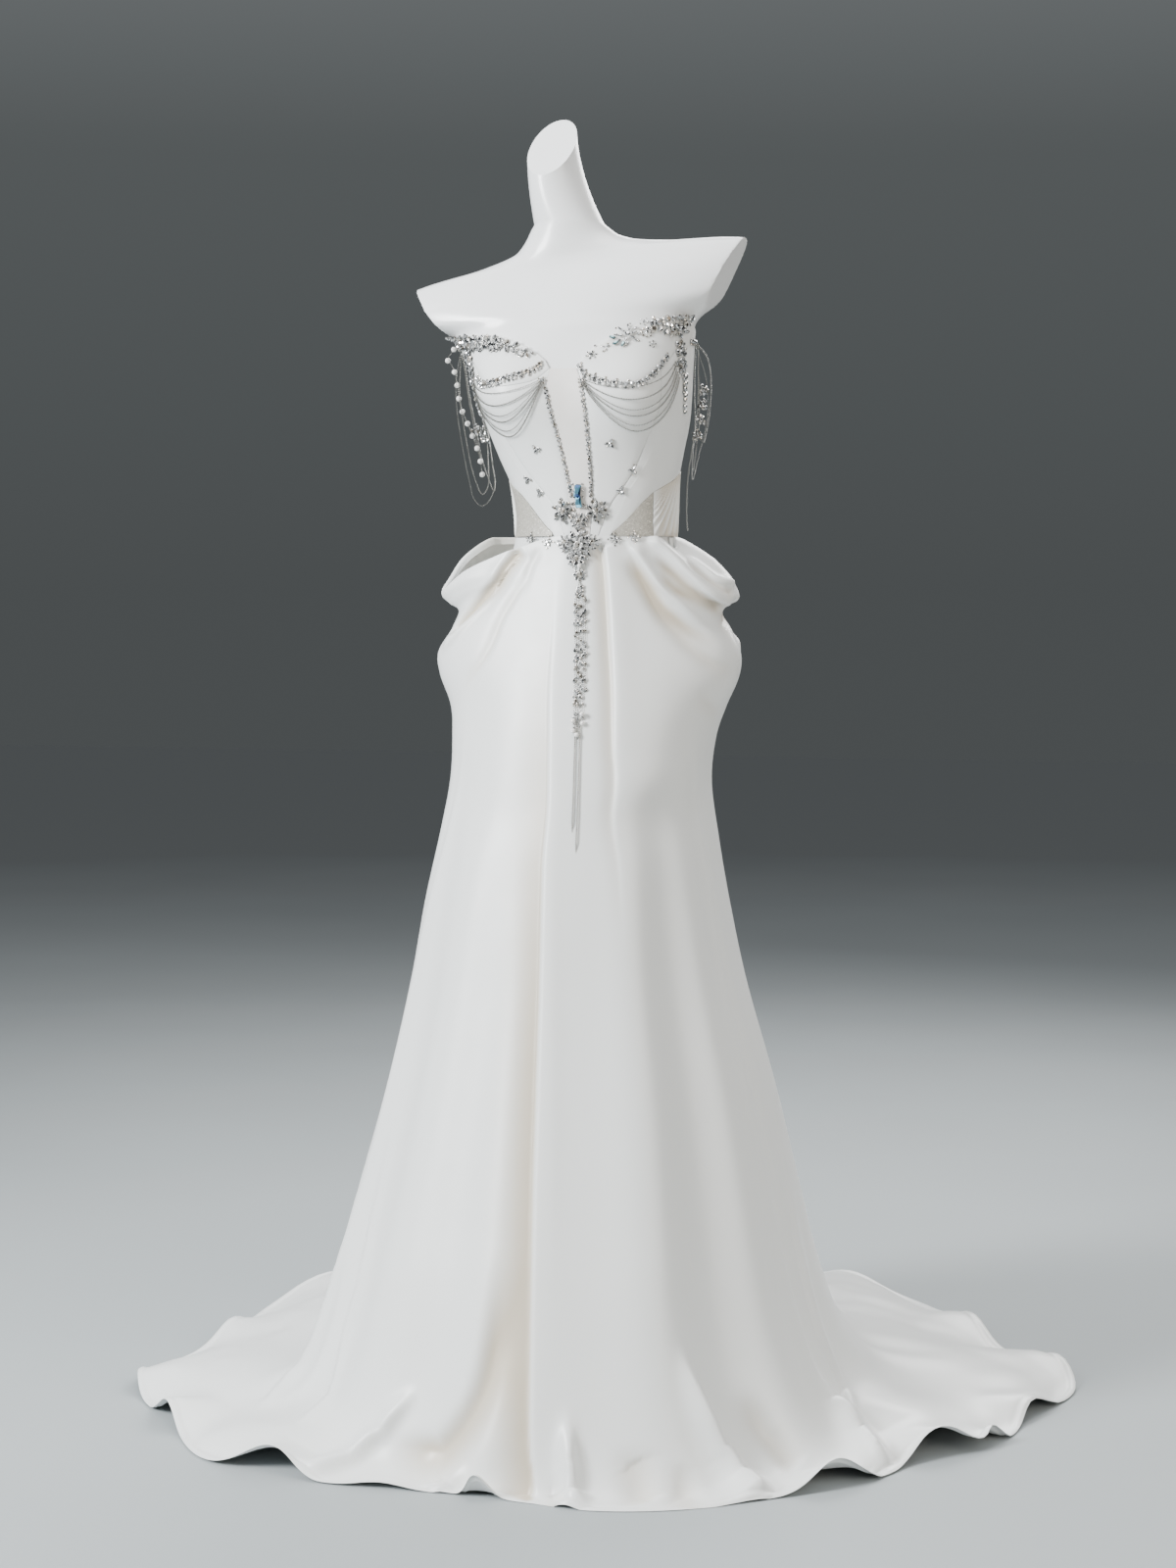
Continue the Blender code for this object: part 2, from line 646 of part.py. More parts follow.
def build_bodice():
    rows = 8
    for side_name, turn in (("left", False), ("right", True)):
        def line(points, steps):
            sampled = sample_line(points, steps)
            return mirror_line(sampled) if not turn else sampled

        plunge = line(plunge_line, rows)
        princess = line(princess_line, rows)
        under_inner = line(undercup_inner, 8)
        under_outer = line(undercup_outer, 4)
        neckline_end = line(cup_end, 1)
        seam_low = line(((side_seam, waist_seam), (side_seam, 1.276)), 3)
        seam_high = line(((side_seam, 1.276), (side_seam, 1.450)), rows)
        centre_back = line(((180.0, waist_seam), (180.0, 1.415)), rows + 3)
        split = v_splits[side_name]
        mesh_edge, mesh_top = v_line[split]
        pleat_steps = 4 * pleat_count if side_name == "right" else 2 * pleat_count
        tip, inner_v, outer_v = line(v_tip, 2), line(v_line[:split + 1], 6), line(v_line[split:], 4)

        front_foot = line((plunge_line[0], princess_line[0]), 8)
        make_panel("bodice_front_" + side_name, fill_patch(front_foot, princess, under_inner, plunge), "satin")
        make_panel("bodice_side_" + side_name,
                   fill_patch(join_lines(tip, inner_v, outer_v), seam_high,
                              join_lines(under_outer, neckline_end, line(side_neckline, 7)), princess),
                   "satin")
        make_panel("cup_" + side_name,
                   fill_patch(join_lines(under_inner, under_outer), line(cup_end, 5),
                              line(cup_neckline, 12), line((undercup_inner[0], cup_neckline[0]), 5)),
                   "satin")
        back_top = line(back_neckline, 8)
        back_foot = line(((side_seam, waist_seam), (180.0, waist_seam)), 8)
        make_panel("bodice_back_" + side_name,
                   fill_patch(back_foot, centre_back, back_top, join_lines(seam_low, seam_high)), "satin")
        make_panel("waist_mesh_" + side_name,
                   fill_patch(line(((22.0, waist_seam), (mesh_edge, waist_seam)), 6),
                              line(((mesh_edge, waist_seam), (mesh_edge, mesh_top)), 4), inner_v,
                              line(((22.0, waist_seam), (22.0, waist_seam + 0.005)), 4)), "mesh")
        make_panel("side_pleats_" + side_name,
                   fill_patch(line(((mesh_edge, waist_seam), (side_seam, waist_seam)), pleat_steps),
                              line(((side_seam, waist_seam), (side_seam, 1.276)), 5),
                              line(v_line[split:], pleat_steps),
                              line(((mesh_edge, waist_seam), (mesh_edge, mesh_top)), 5)),
                   "satin", 0.0006, relief=side_pleat)
        make_panel("hip_yoke_" + side_name,
                   straight_patch(line, yoke_angles[side_name], yoke_heights, 9, 4),
                   "satin", lift=yoke_gap)
    left_edge = mirror_line(sample_line(plunge_line, rows))
    right_edge = sample_line(plunge_line, rows)
    foot = sample_line((left_edge[0], right_edge[0]), 4)
    scoop = sample_line((left_edge[-1], (0.0, 1.4045), right_edge[-1]), 4)
    make_panel("plunge_gusset", fill_patch(foot, right_edge, scoop, left_edge), "sheer")
    placket = straight_patch(sample_line, (177.6, 182.4), (waist_seam + 0.001, 1.408), 1, 10)
    make_panel("back_placket", placket, "satin", 0.0, on_panel, 0.0015)


def build_skirt():
    make_skirt_panel("skirt_front", front_seam_low, front_seam_high, 5)
    make_skirt_panel("skirt_side_right", front_seam_high, back_seam, 14)
    make_skirt_panel("skirt_side_left", lambda station: -back_seam(station), front_seam_low, 15)
    make_skirt_panel("skirt_back_right", back_seam, lambda station: 180.0, 8)
    make_skirt_panel("skirt_back_left", lambda station: -180.0, lambda station: -back_seam(station), 8)


def trefoil(radius):
    return lambda turn: (radius * (1 + 0.28 * math.cos(3 * turn + 1.6)) * math.cos(turn),
                         radius * (1 + 0.28 * math.cos(3 * turn + 1.6)) * math.sin(turn))


def brooch_outline(turn):
    """Winged top, narrow middle and a rounded crown below."""
    spread = 1 + 0.16 * math.cos(4 * turn) - 0.10 * math.cos(8 * turn)
    across = 0.030 * spread * math.cos(turn)
    up = 0.043 * spread * math.sin(turn)
    return across, up


def on_front(angle, height, lift):
    """Above the bodice and, below the waist seam, above the skirt's front as well."""
    return on_form(angle, height, lift + 0.0001 + 0.12 * max(waist_seam + 0.006 - height, 0.0))


def build_trims():
    neckline_band = [(angle, height - 0.0065) for angle, height in cup_neckline[1:-1]]
    undercup_band = undercup_inner[1:] + undercup_outer[1:2]
    for side_name, sign in (("left", -1), ("right", 1)):
        def place(points):
            return points if sign > 0 else mirror_line(points)

        make_strip("neckline_band_" + side_name, place(neckline_band), 0.011, 16, "crystal",
                   lift=on_panel + 0.0006)
        make_strip("side_band_" + side_name, place(side_band), 0.012, 8, "crystal", lift=on_panel + 0.0003)
        make_strip("undercup_band_" + side_name, place(undercup_band), 0.0065, 15, "crystal")
        make_strip("plunge_band_" + side_name, place(plunge_band), 0.004, 10, "crystal", bead=0.0006)
        for number, (angle, height) in enumerate(sprig_places, 1):
            make_badge(f"sprig_{side_name}_{number}", (sign * angle, height), trefoil(motif_radius), 3,
                       "crystal", 0.0012, 0.0016, 1, 12)
        for number, angle in enumerate(waist_motif_angles, 1):
            make_badge(f"waist_motif_{side_name}_{number}", (sign * angle, waist_seam + 0.001),
                       trefoil(motif_radius), 3, "crystal", 0.0012, 0.0018, 1, 12, place=on_front)
        build_swags(side_name, sign)
        build_arm_drape(side_name, sign)
    make_badge("brooch", brooch_centre, brooch_outline, 10, "crystal", 0.0022, 0.0045, 3, 30, place=on_front)


def build_swags(side_name, sign):
    inner_end, outer_end = swag_ends

    def end_block(name, centre):
        angle, height = centre
        patch = fill_patch(*[sample_line(((angle + a, height + b), (angle + c, height + d)), 1)
                             for a, b, c, d in ((-1.6, -0.003, 1.6, -0.003), (1.6, -0.003, 1.6, 0.003),
                                                (-1.6, 0.003, 1.6, 0.003), (-1.6, -0.003, -1.6, 0.003))])
        patch = [[(sign * a, h) for a, h in line] for line in patch]
        return make_panel(name, patch, "crystal", 0.0, on_panel + 0.0009, 0.0035)

    blocks = [end_block("cup_swags_" + side_name, inner_end),
              end_block("swag_end_" + side_name, outer_end)]
    chains = []
    steps = 9
    for number, depth in enumerate(swag_depths):
        path = []
        for step in range(steps + 1):
            share = step / steps
            angle = blend(inner_end[0], outer_end[0], share)
            height = blend(inner_end[1], outer_end[1], share) - depth * 4 * share * (1 - share)
            height += (1.5 - number) * 0.0006
            path.append(on_form(sign * angle, height, 0.0058 + 0.0012 * math.sin(math.pi * share)))
        chains.append(make_tube(f"swag_chain_{side_name}_{number}", path, 0.0011, "crystal"))
    unite(blocks[0], [blocks[1]] + chains)


def build_arm_drape(side_name, sign):
    """Chains that hang beside the bodice from a bar along its top edge."""
    def mirrored(points, steps):
        return [(sign * angle, height) for angle, height in sample_line(points, steps)]

    bar = straight_patch(mirrored, drape_bar_angles, drape_bar_heights, 7, 1)
    body = make_panel("arm_drape_" + side_name, bar, "crystal", 0.0, on_panel + 0.0011, 0.0035)
    strings = []
    for number, (radius, steps, stations) in enumerate(arm_drapes[side_name]):
        last = len(stations) - 1
        table = [(place / last, *station) for place, station in enumerate(stations)]
        path = []
        for step in range(steps + 1):
            angle, height, stand_off = read_table(table, step / steps)
            path.append(on_form(sign * angle, height, stand_off))
        strings.append(make_tube(f"drape_string_{side_name}_{number}", path, radius, "crystal"))
    unite(body, strings)


def build_tassel():
    """Bead strands that fall from one head over the skirt's front, standing apart below it."""
    columns = 2 * len(tassel_ends) - 1
    pitch = 0.0013
    head_top, head_foot, row_count = 1.141, 1.127, 12
    lowest = min(tassel_ends)
    heights = [head_top] + [blend(head_foot, lowest, step / row_count) for step in range(row_count + 1)]
    cells = set()
    for column in range(columns):
        cells.add((0, column))
        if column % 2 == 0:
            for row in range(1, len(heights) - 1):
                if heights[row + 1] >= tassel_ends[column // 2] - 0.001:
                    cells.add((row, column))
    outer, inner = [], []
    for row, height in enumerate(heights):
        outer_line, inner_line = [], []
        fallen = (head_top - height) / (head_top - lowest)
        centre = blend(tassel_head_across, tassel_foot_across, 1 - (1 - fallen) ** 2.5)
        for column in range(columns + 1):
            across = centre + (column - columns / 2) * pitch
            back = front_surface(across, height) - tassel_gap
            depth = 0.0045 if row < 2 else 0.0022
            inner_line.append(Vector((across, back, height)))
            outer_line.append(Vector((across, back - depth, height)))
        outer.append(outer_line)
        inner.append(inner_line)
    make_wall("tassel", outer, inner, "crystal", cells)


def front_surface(across, height):
    """Outermost y of the skirt's front near the middle, at a height."""
    table = []
    for station in range(16):
        start = skirt_point(0, station).x
        angle = 5 * (across - start) / (skirt_point(5, station).x - start)
        point = skirt_point(angle, station)
        table.append((-point.z, point.y))
    return read_table(table, -height)[0] - cloth / 2


def main():
    clear_scene()
    build_form()
    build_stand()
    build_bodice()
    build_skirt()
    build_trims()
    build_tassel()


main()
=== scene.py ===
import math

import bmesh
import bpy
import numpy as np
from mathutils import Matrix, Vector


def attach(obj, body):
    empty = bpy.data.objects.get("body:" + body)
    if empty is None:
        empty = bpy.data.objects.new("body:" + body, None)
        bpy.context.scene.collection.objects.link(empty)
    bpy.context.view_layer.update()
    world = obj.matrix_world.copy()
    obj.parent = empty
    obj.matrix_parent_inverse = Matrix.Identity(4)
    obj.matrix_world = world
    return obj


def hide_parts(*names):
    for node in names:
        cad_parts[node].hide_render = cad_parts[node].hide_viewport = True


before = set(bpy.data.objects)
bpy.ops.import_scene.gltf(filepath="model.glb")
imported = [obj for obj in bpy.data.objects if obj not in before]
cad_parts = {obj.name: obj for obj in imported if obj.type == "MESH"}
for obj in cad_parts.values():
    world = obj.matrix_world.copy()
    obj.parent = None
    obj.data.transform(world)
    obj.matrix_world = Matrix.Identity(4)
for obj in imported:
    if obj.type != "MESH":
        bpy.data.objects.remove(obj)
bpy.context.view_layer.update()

dice = np.random.default_rng(11)

# where the cloth lies on the form
layers = {"formGap": 0.0016, "cloth": 0.002, "seamGap": 0.0006, "yokeGap": 0.0008, "placketGap": 0.0004}
onPanel = layers["formGap"] + layers["cloth"]
waistSeam = 1.1875
sideSeam = 100.0  # angle from the front
sideRim, vEnd, backRim = 1.450, 1.276, 1.415  # heights: top of the side seam, the V on it, top of the back


def blend(a, b, share):
    return a + (b - a) * share


def smoothStep(low, high, value):
    share = np.clip((np.asarray(value, float) - low) / (high - low), 0, 1)
    return share * share * (3 - 2 * share)


def bell(value, centre, width):
    return np.exp(-((np.asarray(value, float) - centre) / width) ** 2)


def unit(vectors):
    return vectors / np.maximum(np.linalg.norm(vectors, axis=-1, keepdims=True), 1e-12)


def readTable(table, keys):  # smooth curve through the rows, first column is the key
    rows = np.array(table, float)
    key = np.asarray(keys, float)
    low = np.clip(np.searchsorted(rows[:, 0], key) - 1, 0, len(rows) - 2)
    before, after = np.maximum(low - 1, 0), np.minimum(low + 2, len(rows) - 1)
    span = (rows[low + 1, 0] - rows[low, 0])[..., None]
    t = np.clip((key[..., None] - rows[low, 0][..., None]) / span, 0, 1)
    v = rows[:, 1:]
    slopeLow = (v[low + 1] - v[before]) / (rows[low + 1, 0] - rows[before, 0])[..., None]
    slopeHigh = (v[after] - v[low]) / (rows[after, 0] - rows[low, 0])[..., None]
    return ((2 * t ** 3 - 3 * t ** 2 + 1) * v[low] + (t ** 3 - 2 * t ** 2 + t) * span * slopeLow
            + (3 * t ** 2 - 2 * t ** 3) * v[low + 1] + (t ** 3 - t ** 2) * span * slopeHigh)


def sampleLine(line, steps):
    points = np.array(line, float)
    if len(points) == 2:
        return blend(points[0], points[1], np.linspace(0, 1, steps + 1)[:, None])
    run = np.hypot(np.diff(points[:, 0]) * 0.002, np.diff(points[:, 1]))
    reach = np.concatenate(([0], np.cumsum(run)))
    return readTable(np.column_stack((reach, points)), np.linspace(0, reach[-1], steps + 1))


def mirrorLine(line):
    return np.array(line, float) * (-1, 1)


def fillPatch(bottom, right, top, left):  # (angle, height) grid between four edges
    u = np.linspace(0, 1, len(bottom))[None, :, None]
    v = np.linspace(0, 1, len(left))[:, None, None]
    edges = blend(bottom[None], top[None], v)
    sides = blend(left[:, None], right[:, None], u)
    corners = blend(blend(bottom[0], bottom[-1], u), blend(top[0], top[-1], u), v)
    return edges + sides - corners


# the dress form

form = {
    # height, centre x, centre y, half width, front depth, back depth
    "sections": (
        (0.900, 0.005, 0.000, 0.136, 0.096, 0.112), (1.000, 0.006, 0.000, 0.143, 0.100, 0.116),
        (1.080, 0.008, 0.000, 0.133, 0.094, 0.102), (1.140, 0.010, 0.000, 0.117, 0.086, 0.084),
        (1.190, 0.0115, 0.000, 0.1065, 0.081, 0.075), (1.220, 0.0115, 0.000, 0.1055, 0.080, 0.074),
        (1.260, 0.009, 0.000, 0.111, 0.083, 0.078), (1.300, 0.004, 0.000, 0.123, 0.088, 0.084),
        (1.340, 0.000, 0.000, 0.135, 0.092, 0.090), (1.380, -0.006, 0.000, 0.144, 0.092, 0.094),
        (1.420, -0.011, 0.000, 0.151, 0.088, 0.096), (1.460, -0.017, 0.003, 0.162, 0.080, 0.096),
        (1.475, -0.018, 0.005, 0.181, 0.075, 0.093), (1.492, -0.018, 0.006, 0.232, 0.068, 0.090),
        (1.520, -0.018, 0.009, 0.262, 0.058, 0.082), (1.547, -0.019, 0.011, 0.250, 0.047, 0.064),
        (1.558, -0.020, 0.012, 0.205, 0.044, 0.056), (1.565, -0.022, 0.012, 0.140, 0.043, 0.052),
        (1.578, -0.025, 0.012, 0.080, 0.044, 0.051), (1.605, -0.028, 0.010, 0.047, 0.045, 0.048),
    ),
    "bustHeight": 1.375, "bustTall": 0.05, "bustAngle": 0.62, "bustWidth": 0.42, "bustRise": 0.030,
    "shoulderTilt": 0.13, "tiltStart": 1.42, "tiltRun": 0.10, "tiltEnd": 1.58, "tiltFade": 0.025,
    "armCutStart": 1.46, "armCuts": ((-0.186, -0.56), (0.152, 0.64)),  # x where it starts, slope outwards
    "neckCentre": (-0.050, 0.003), "neckHalfWidth": 0.033, "neckDepth": 1.1,
    "neckLevel": 1.7125, "neckSlope": (0.19, 1.13), "neckRows": 26, "neckCurve": 1.7,
    "inset": 0.0006, "columns": 256, "footCentre": (0.005, 0.008, 0.900),
    # rows of the mesh: from, to, step
    "rows": ((0.900, 1.455, 0.012), (1.455, 1.540, 0.0035), (1.540, 1.582, 0.0018), (1.582, 1.6051, 0.0045)),
}


def shoulderLean(height):
    return form["shoulderTilt"] * np.minimum((height - form["tiltStart"]) / form["tiltRun"], 1)


def formPoint(angle, height):
    angle, height = np.broadcast_arrays(np.asarray(angle, float), np.asarray(height, float))
    centreX, centreY, halfWidth, front, back = np.moveaxis(readTable(form["sections"], height), -1, 0)
    turn = np.radians((angle + 180) % 360 - 180)
    side, ahead = np.sin(turn), np.cos(turn)
    rise = sum(bell(turn, sign * form["bustAngle"], form["bustWidth"]) for sign in (-1, 1))
    rise = rise * form["bustRise"] * bell(height, form["bustHeight"], form["bustTall"])
    x = centreX + halfWidth * side + 0.7 * rise * side
    y = centreY - np.where(ahead > 0, front, back) * ahead - rise * np.maximum(ahead, 0)
    lean = np.maximum(shoulderLean(height), 0)
    lean = lean * (1 - np.clip((height - form["tiltEnd"]) / form["tiltFade"], 0, 1))
    return np.stack((x, y, height + lean * x), -1)


def formNormal(angle, height):
    across = formPoint(np.asarray(angle) + 0.5, height) - formPoint(np.asarray(angle) - 0.5, height)
    upward = formPoint(angle, np.asarray(height) + 0.001) - formPoint(angle, np.asarray(height) - 0.001)
    return unit(np.cross(across, upward))


def onForm(angle, height, lift):
    return formPoint(angle, height) + formNormal(angle, height) * np.asarray(lift)[..., None]


# meshes

def showPiece(name, mesh, nodes):
    piece = bpy.data.objects.new(name, mesh)
    bpy.context.scene.collection.objects.link(piece)
    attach(piece, "root")
    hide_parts(*nodes)
    return piece


def newPiece(name, points, faces, finish, nodes, sharp=50):
    mesh = bpy.data.meshes.new(name)
    mesh.from_pydata(np.asarray(points, float).reshape(-1, 3).tolist(), [], [list(f) for f in faces])
    mesh.update()
    mesh.shade_smooth()
    mesh.set_sharp_from_angle(angle=math.radians(sharp))
    mesh.materials.append(finishes[finish])
    return showPiece(name, mesh, nodes)


def addLayer(mesh, name, domain, values):  # a value on each point or face that a material reads
    layer = mesh.attributes.new(name, "FLOAT", domain)
    layer.data.foreach_set("value", np.asarray(values, np.float32).ravel())


def gridFaces(rows, columns, start=0):
    index = start + np.arange(rows * columns).reshape(rows, columns)
    return np.stack((index[:-1, :-1], index[:-1, 1:], index[1:, 1:], index[1:, :-1]), -1).reshape(-1, 4)


def wallFaces(outer, inner):  # closed cloth wall between two grids
    rows, columns = outer.shape[:2]
    count = rows * columns
    index = np.arange(count).reshape(rows, columns)
    rim = np.concatenate((index[0, :-1], index[:-1, -1], index[-1, :0:-1], index[:0:-1, 0]))
    after = np.roll(rim, -1)
    faces = np.concatenate((gridFaces(rows, columns), gridFaces(rows, columns, count)[:, ::-1],
                            np.stack((after, rim, rim + count, after + count), -1)))
    across = outer[rows // 2, columns // 2 + 1] - outer[rows // 2, columns // 2]
    upward = outer[rows // 2 + 1, columns // 2] - outer[rows // 2, columns // 2]
    outward = outer[rows // 2, columns // 2] - inner[rows // 2, columns // 2]
    return faces if np.dot(np.cross(across, upward), outward) > 0 else faces[:, ::-1]


def drawIn(grid, distance):  # leaves the gap at a seam
    moved = grid.copy()
    moved[0] += unit(grid[1] - grid[0]) * distance
    moved[-1] += unit(grid[-2] - grid[-1]) * distance
    moved[:, 0] += unit(grid[:, 1] - grid[:, 0]) * distance
    moved[:, -1] += unit(grid[:, -2] - grid[:, -1]) * distance
    return moved


# materials

def newMaterial(name):
    material = bpy.data.materials.new(name)
    material.use_nodes = True
    tree = material.node_tree
    return material, tree, tree.nodes["Principled BSDF"]


def addNode(tree, kind, settings=(), **inputs):
    node = tree.nodes.new("ShaderNode" + kind)
    for key, value in dict(settings).items():
        setattr(node, key, value)
    for key, value in inputs.items():
        socket = node.inputs[int(key[1:])] if key[0] == "_" else node.inputs[key]
        if isinstance(value, bpy.types.NodeSocket):
            tree.links.new(value, socket)
        else:
            socket.default_value = value
    return node


def noise(tree, scale, detail=3.0, stretch=(1, 1, 1)):
    place = addNode(tree, "TexCoord")
    mapping = addNode(tree, "Mapping", Vector=place.outputs["Object"], Scale=stretch)
    return addNode(tree, "TexNoise", Vector=mapping.outputs[0], Scale=scale, Detail=detail).outputs[0]


def ramp(tree, factor, stops):
    node = addNode(tree, "ValToRGB", Fac=factor)
    elements = node.color_ramp.elements
    while len(elements) < len(stops):
        elements.new(0.5)
    for element, (place, colour) in zip(elements, stops):
        element.position = place
        element.color = (*colour, 1)
    return node.outputs[0]


def bumpChain(tree, shader, heights):  # (height socket, strength, distance) from coarse to fine
    normal = None
    for height, strength, distance in heights:
        node = addNode(tree, "Bump", Strength=strength, Distance=distance, Height=height)
        if normal:
            tree.links.new(normal, node.inputs["Normal"])
        normal = node.outputs[0]
    tree.links.new(normal, shader.inputs["Normal"])


def spread(tree, value, low, high):
    return addNode(tree, "MapRange", Value=value, _3=low, _4=high).outputs[0]


# lit is the satin's own colour, shadeTone the warm colour of the painted shade in the hollows of folds
satinLook = {"lit": (0.86, 0.875, 0.865), "shadeTone": (0.60, 0.53, 0.42), "roughness": 0.34, "sheen": 0.22}


def makeSatin():  # painted shade: the colour turns to the warm shade tone where the mesh's paintedShade value marks the hollow of a fold
    material, tree, shader = newMaterial("bridal satin")
    lit, shadeTone, roughness = satinLook["lit"], satinLook["shadeTone"], satinLook["roughness"]
    paintedShade = addNode(tree, "Attribute", {"attribute_name": "paintedShade"}).outputs["Fac"]
    tone = ramp(tree, noise(tree, 5.0, 4.0), ((0.35, lit), (0.7, tuple(0.985 * c for c in lit))))
    # painted shade mixed into the base colour
    shadedTone = addNode(tree, "Mix", {"data_type": "RGBA"}, _0=paintedShade, _6=tone, _7=(*shadeTone, 1))
    tree.links.new(shadedTone.outputs[2], shader.inputs["Base Color"])
    tree.links.new(spread(tree, noise(tree, 30.0), roughness - 0.05, roughness + 0.06),
                   shader.inputs["Roughness"])
    shader.inputs["Sheen Weight"].default_value = satinLook["sheen"]
    shader.inputs["Sheen Roughness"].default_value = 0.4
    shader.inputs["Specular IOR Level"].default_value = 0.5
    slubs = noise(tree, 420.0, 2.0, (1, 1, 0.12))
    threads = noise(tree, 1500.0, 1.0, (0.3, 1, 1))
    bumpChain(tree, shader, ((noise(tree, 14.0, 2.0), 0.10, 0.004), (slubs, 0.10, 0.0003),
                             (threads, 0.08, 0.0002)))
    return material


plainLooks = {
    # name; tone: scale of its noise, dark and light end; roughness: scale, low, high;
    # bump: scale, detail, strength, distance; values that stay the same all over
    "sheer": ("ivory sheer", (40.0, (0.83, 0.80, 0.765), (0.87, 0.845, 0.81)), None,
              (900.0, 1.0, 0.3, 0.0002), {"Roughness": 0.5, "Sheen Weight": 0.2}),
    "form": ("form gloss", (8.0, (0.88, 0.895, 0.90), (0.90, 0.91, 0.915)), (50.0, 0.26, 0.34),
             (260.0, 2.0, 0.05, 0.0004), {"Coat Weight": 0.3, "Coat Roughness": 0.15}),
    "pearl": ("pearl", (260.0, (0.80, 0.78, 0.74), (0.88, 0.87, 0.85)), (500.0, 0.18, 0.28),
              (900.0, 3.0, 0.04, 0.0002), {"Coat Weight": 0.6}),
    "silver": ("silver", (600.0, (0.22, 0.215, 0.20), (0.50, 0.49, 0.46)), (900.0, 0.18, 0.32),
               (1200.0, 3.0, 0.08, 0.0002), {"Metallic": 1.0}),
}


def makePlain(name, tone, roughness, bump, fixed):
    material, tree, shader = newMaterial(name)
    scale, dark, light = tone
    tree.links.new(ramp(tree, noise(tree, scale), ((0.3, dark), (0.7, light))), shader.inputs["Base Color"])
    if roughness:
        scale, low, high = roughness
        tree.links.new(spread(tree, noise(tree, scale), low, high), shader.inputs["Roughness"])
    for socket, value in fixed.items():
        shader.inputs[socket].default_value = value
    scale, detail, strength, distance = bump
    bumpChain(tree, shader, ((noise(tree, scale, detail), strength, distance),))
    return material


def makeGlitterMesh():
    material, tree, shader = newMaterial("glitter mesh")
    place = addNode(tree, "TexCoord").outputs["Object"]
    cells = addNode(tree, "TexVoronoi", {"feature": "F1"}, Vector=place, Scale=700.0)
    fleckAndGlint = ramp(tree, cells.outputs["Color"], ((0.0, (0.33, 0.315, 0.275)), (0.62, (0.45, 0.43, 0.38)),
                                                (0.86, (0.58, 0.56, 0.50)), (0.97, (1.0, 1.0, 0.98))))
    tree.links.new(fleckAndGlint, shader.inputs["Base Color"])
    shine = ramp(tree, cells.outputs["Color"], ((0.8, (0.05, 0.05, 0.05)), (0.97, (0.9, 0.9, 0.9))))
    tree.links.new(shine, shader.inputs["Metallic"])
    shader.inputs["Roughness"].default_value = 0.42
    bumpChain(tree, shader, ((cells.outputs["Distance"], 0.5, 0.0004),))
    return material


def makeSteel():
    material, tree, shader = newMaterial("brushed steel")
    place = addNode(tree, "TexCoord").outputs["Object"]
    rings = addNode(tree, "Mapping", Vector=place, Scale=(20, 20, 400)).outputs[0]
    brushed = addNode(tree, "TexNoise", Vector=rings, Scale=4.0).outputs[0]
    tree.links.new(ramp(tree, brushed, ((0.3, (0.50, 0.51, 0.52)), (0.7, (0.66, 0.67, 0.68)))),
                   shader.inputs["Base Color"])
    shader.inputs["Metallic"].default_value = 1.0
    tree.links.new(spread(tree, brushed, 0.25, 0.42), shader.inputs["Roughness"])
    bumpChain(tree, shader, ((brushed, 0.1, 0.0002),))
    return material


gems = {
    # darkest facet, brightest facet: the stone's own tint, painted from dark to bright as reflections;
    # metallic, roughness
    "stone": ((0.05, 0.053, 0.056), (1.0, 1.0, 1.0), 0.80, 0.09),
    "champagne": ((0.10, 0.082, 0.065), (1.0, 0.94, 0.85), 0.80, 0.10),
    "leafStone": ((0.07, 0.15, 0.17), (0.55, 0.80, 0.84), 0.80, 0.08),
    "blueStone": ((0.02, 0.05, 0.16), (0.30, 0.75, 1.00), 0.80, 0.07),
}


def makeGem(name, low, high, metallic, roughness):
    material, tree, shader = newMaterial(name)
    # painted reflections: each facet's colour runs from dark to bright by its painted glint value and a noise
    fleckAndGlint = addNode(tree, "Attribute", {"attribute_name": "fleckAndGlint"}).outputs["Fac"]
    middle = tuple(blend(a, b, 0.55) for a, b in zip(low, high))
    cloud = noise(tree, 700.0, 1.0)
    lit = addNode(tree, "Math", {"operation": "MULTIPLY_ADD"}, _0=cloud, _1=0.30, _2=fleckAndGlint).outputs[0]
    lit = addNode(tree, "Math", {"operation": "SUBTRACT"}, _0=lit, _1=0.15).outputs[0]
    tree.links.new(ramp(tree, lit, ((0.10, low), (0.55, middle), (0.92, high))), shader.inputs["Base Color"])
    shader.inputs["Metallic"].default_value = metallic
    tree.links.new(spread(tree, cloud, roughness, roughness + 0.10), shader.inputs["Roughness"])
    shader.inputs["Coat Weight"].default_value = 0.4
    bumpChain(tree, shader, ((cloud, 0.06, 0.0002),))
    return material


finishes = {"satin": makeSatin(), "mesh": makeGlitterMesh(), "steel": makeSteel()}
for finish, look in plainLooks.items():
    finishes[finish] = makePlain(*look)
for finish, look in gems.items():
    finishes[finish] = makeGem(finish, *look)
print("materials ready")


def weld(piece):
    shape = bmesh.new()
    shape.from_mesh(piece.data)
    bmesh.ops.remove_doubles(shape, verts=shape.verts, dist=0.00001)
    shape.to_mesh(piece.data)
    shape.free()


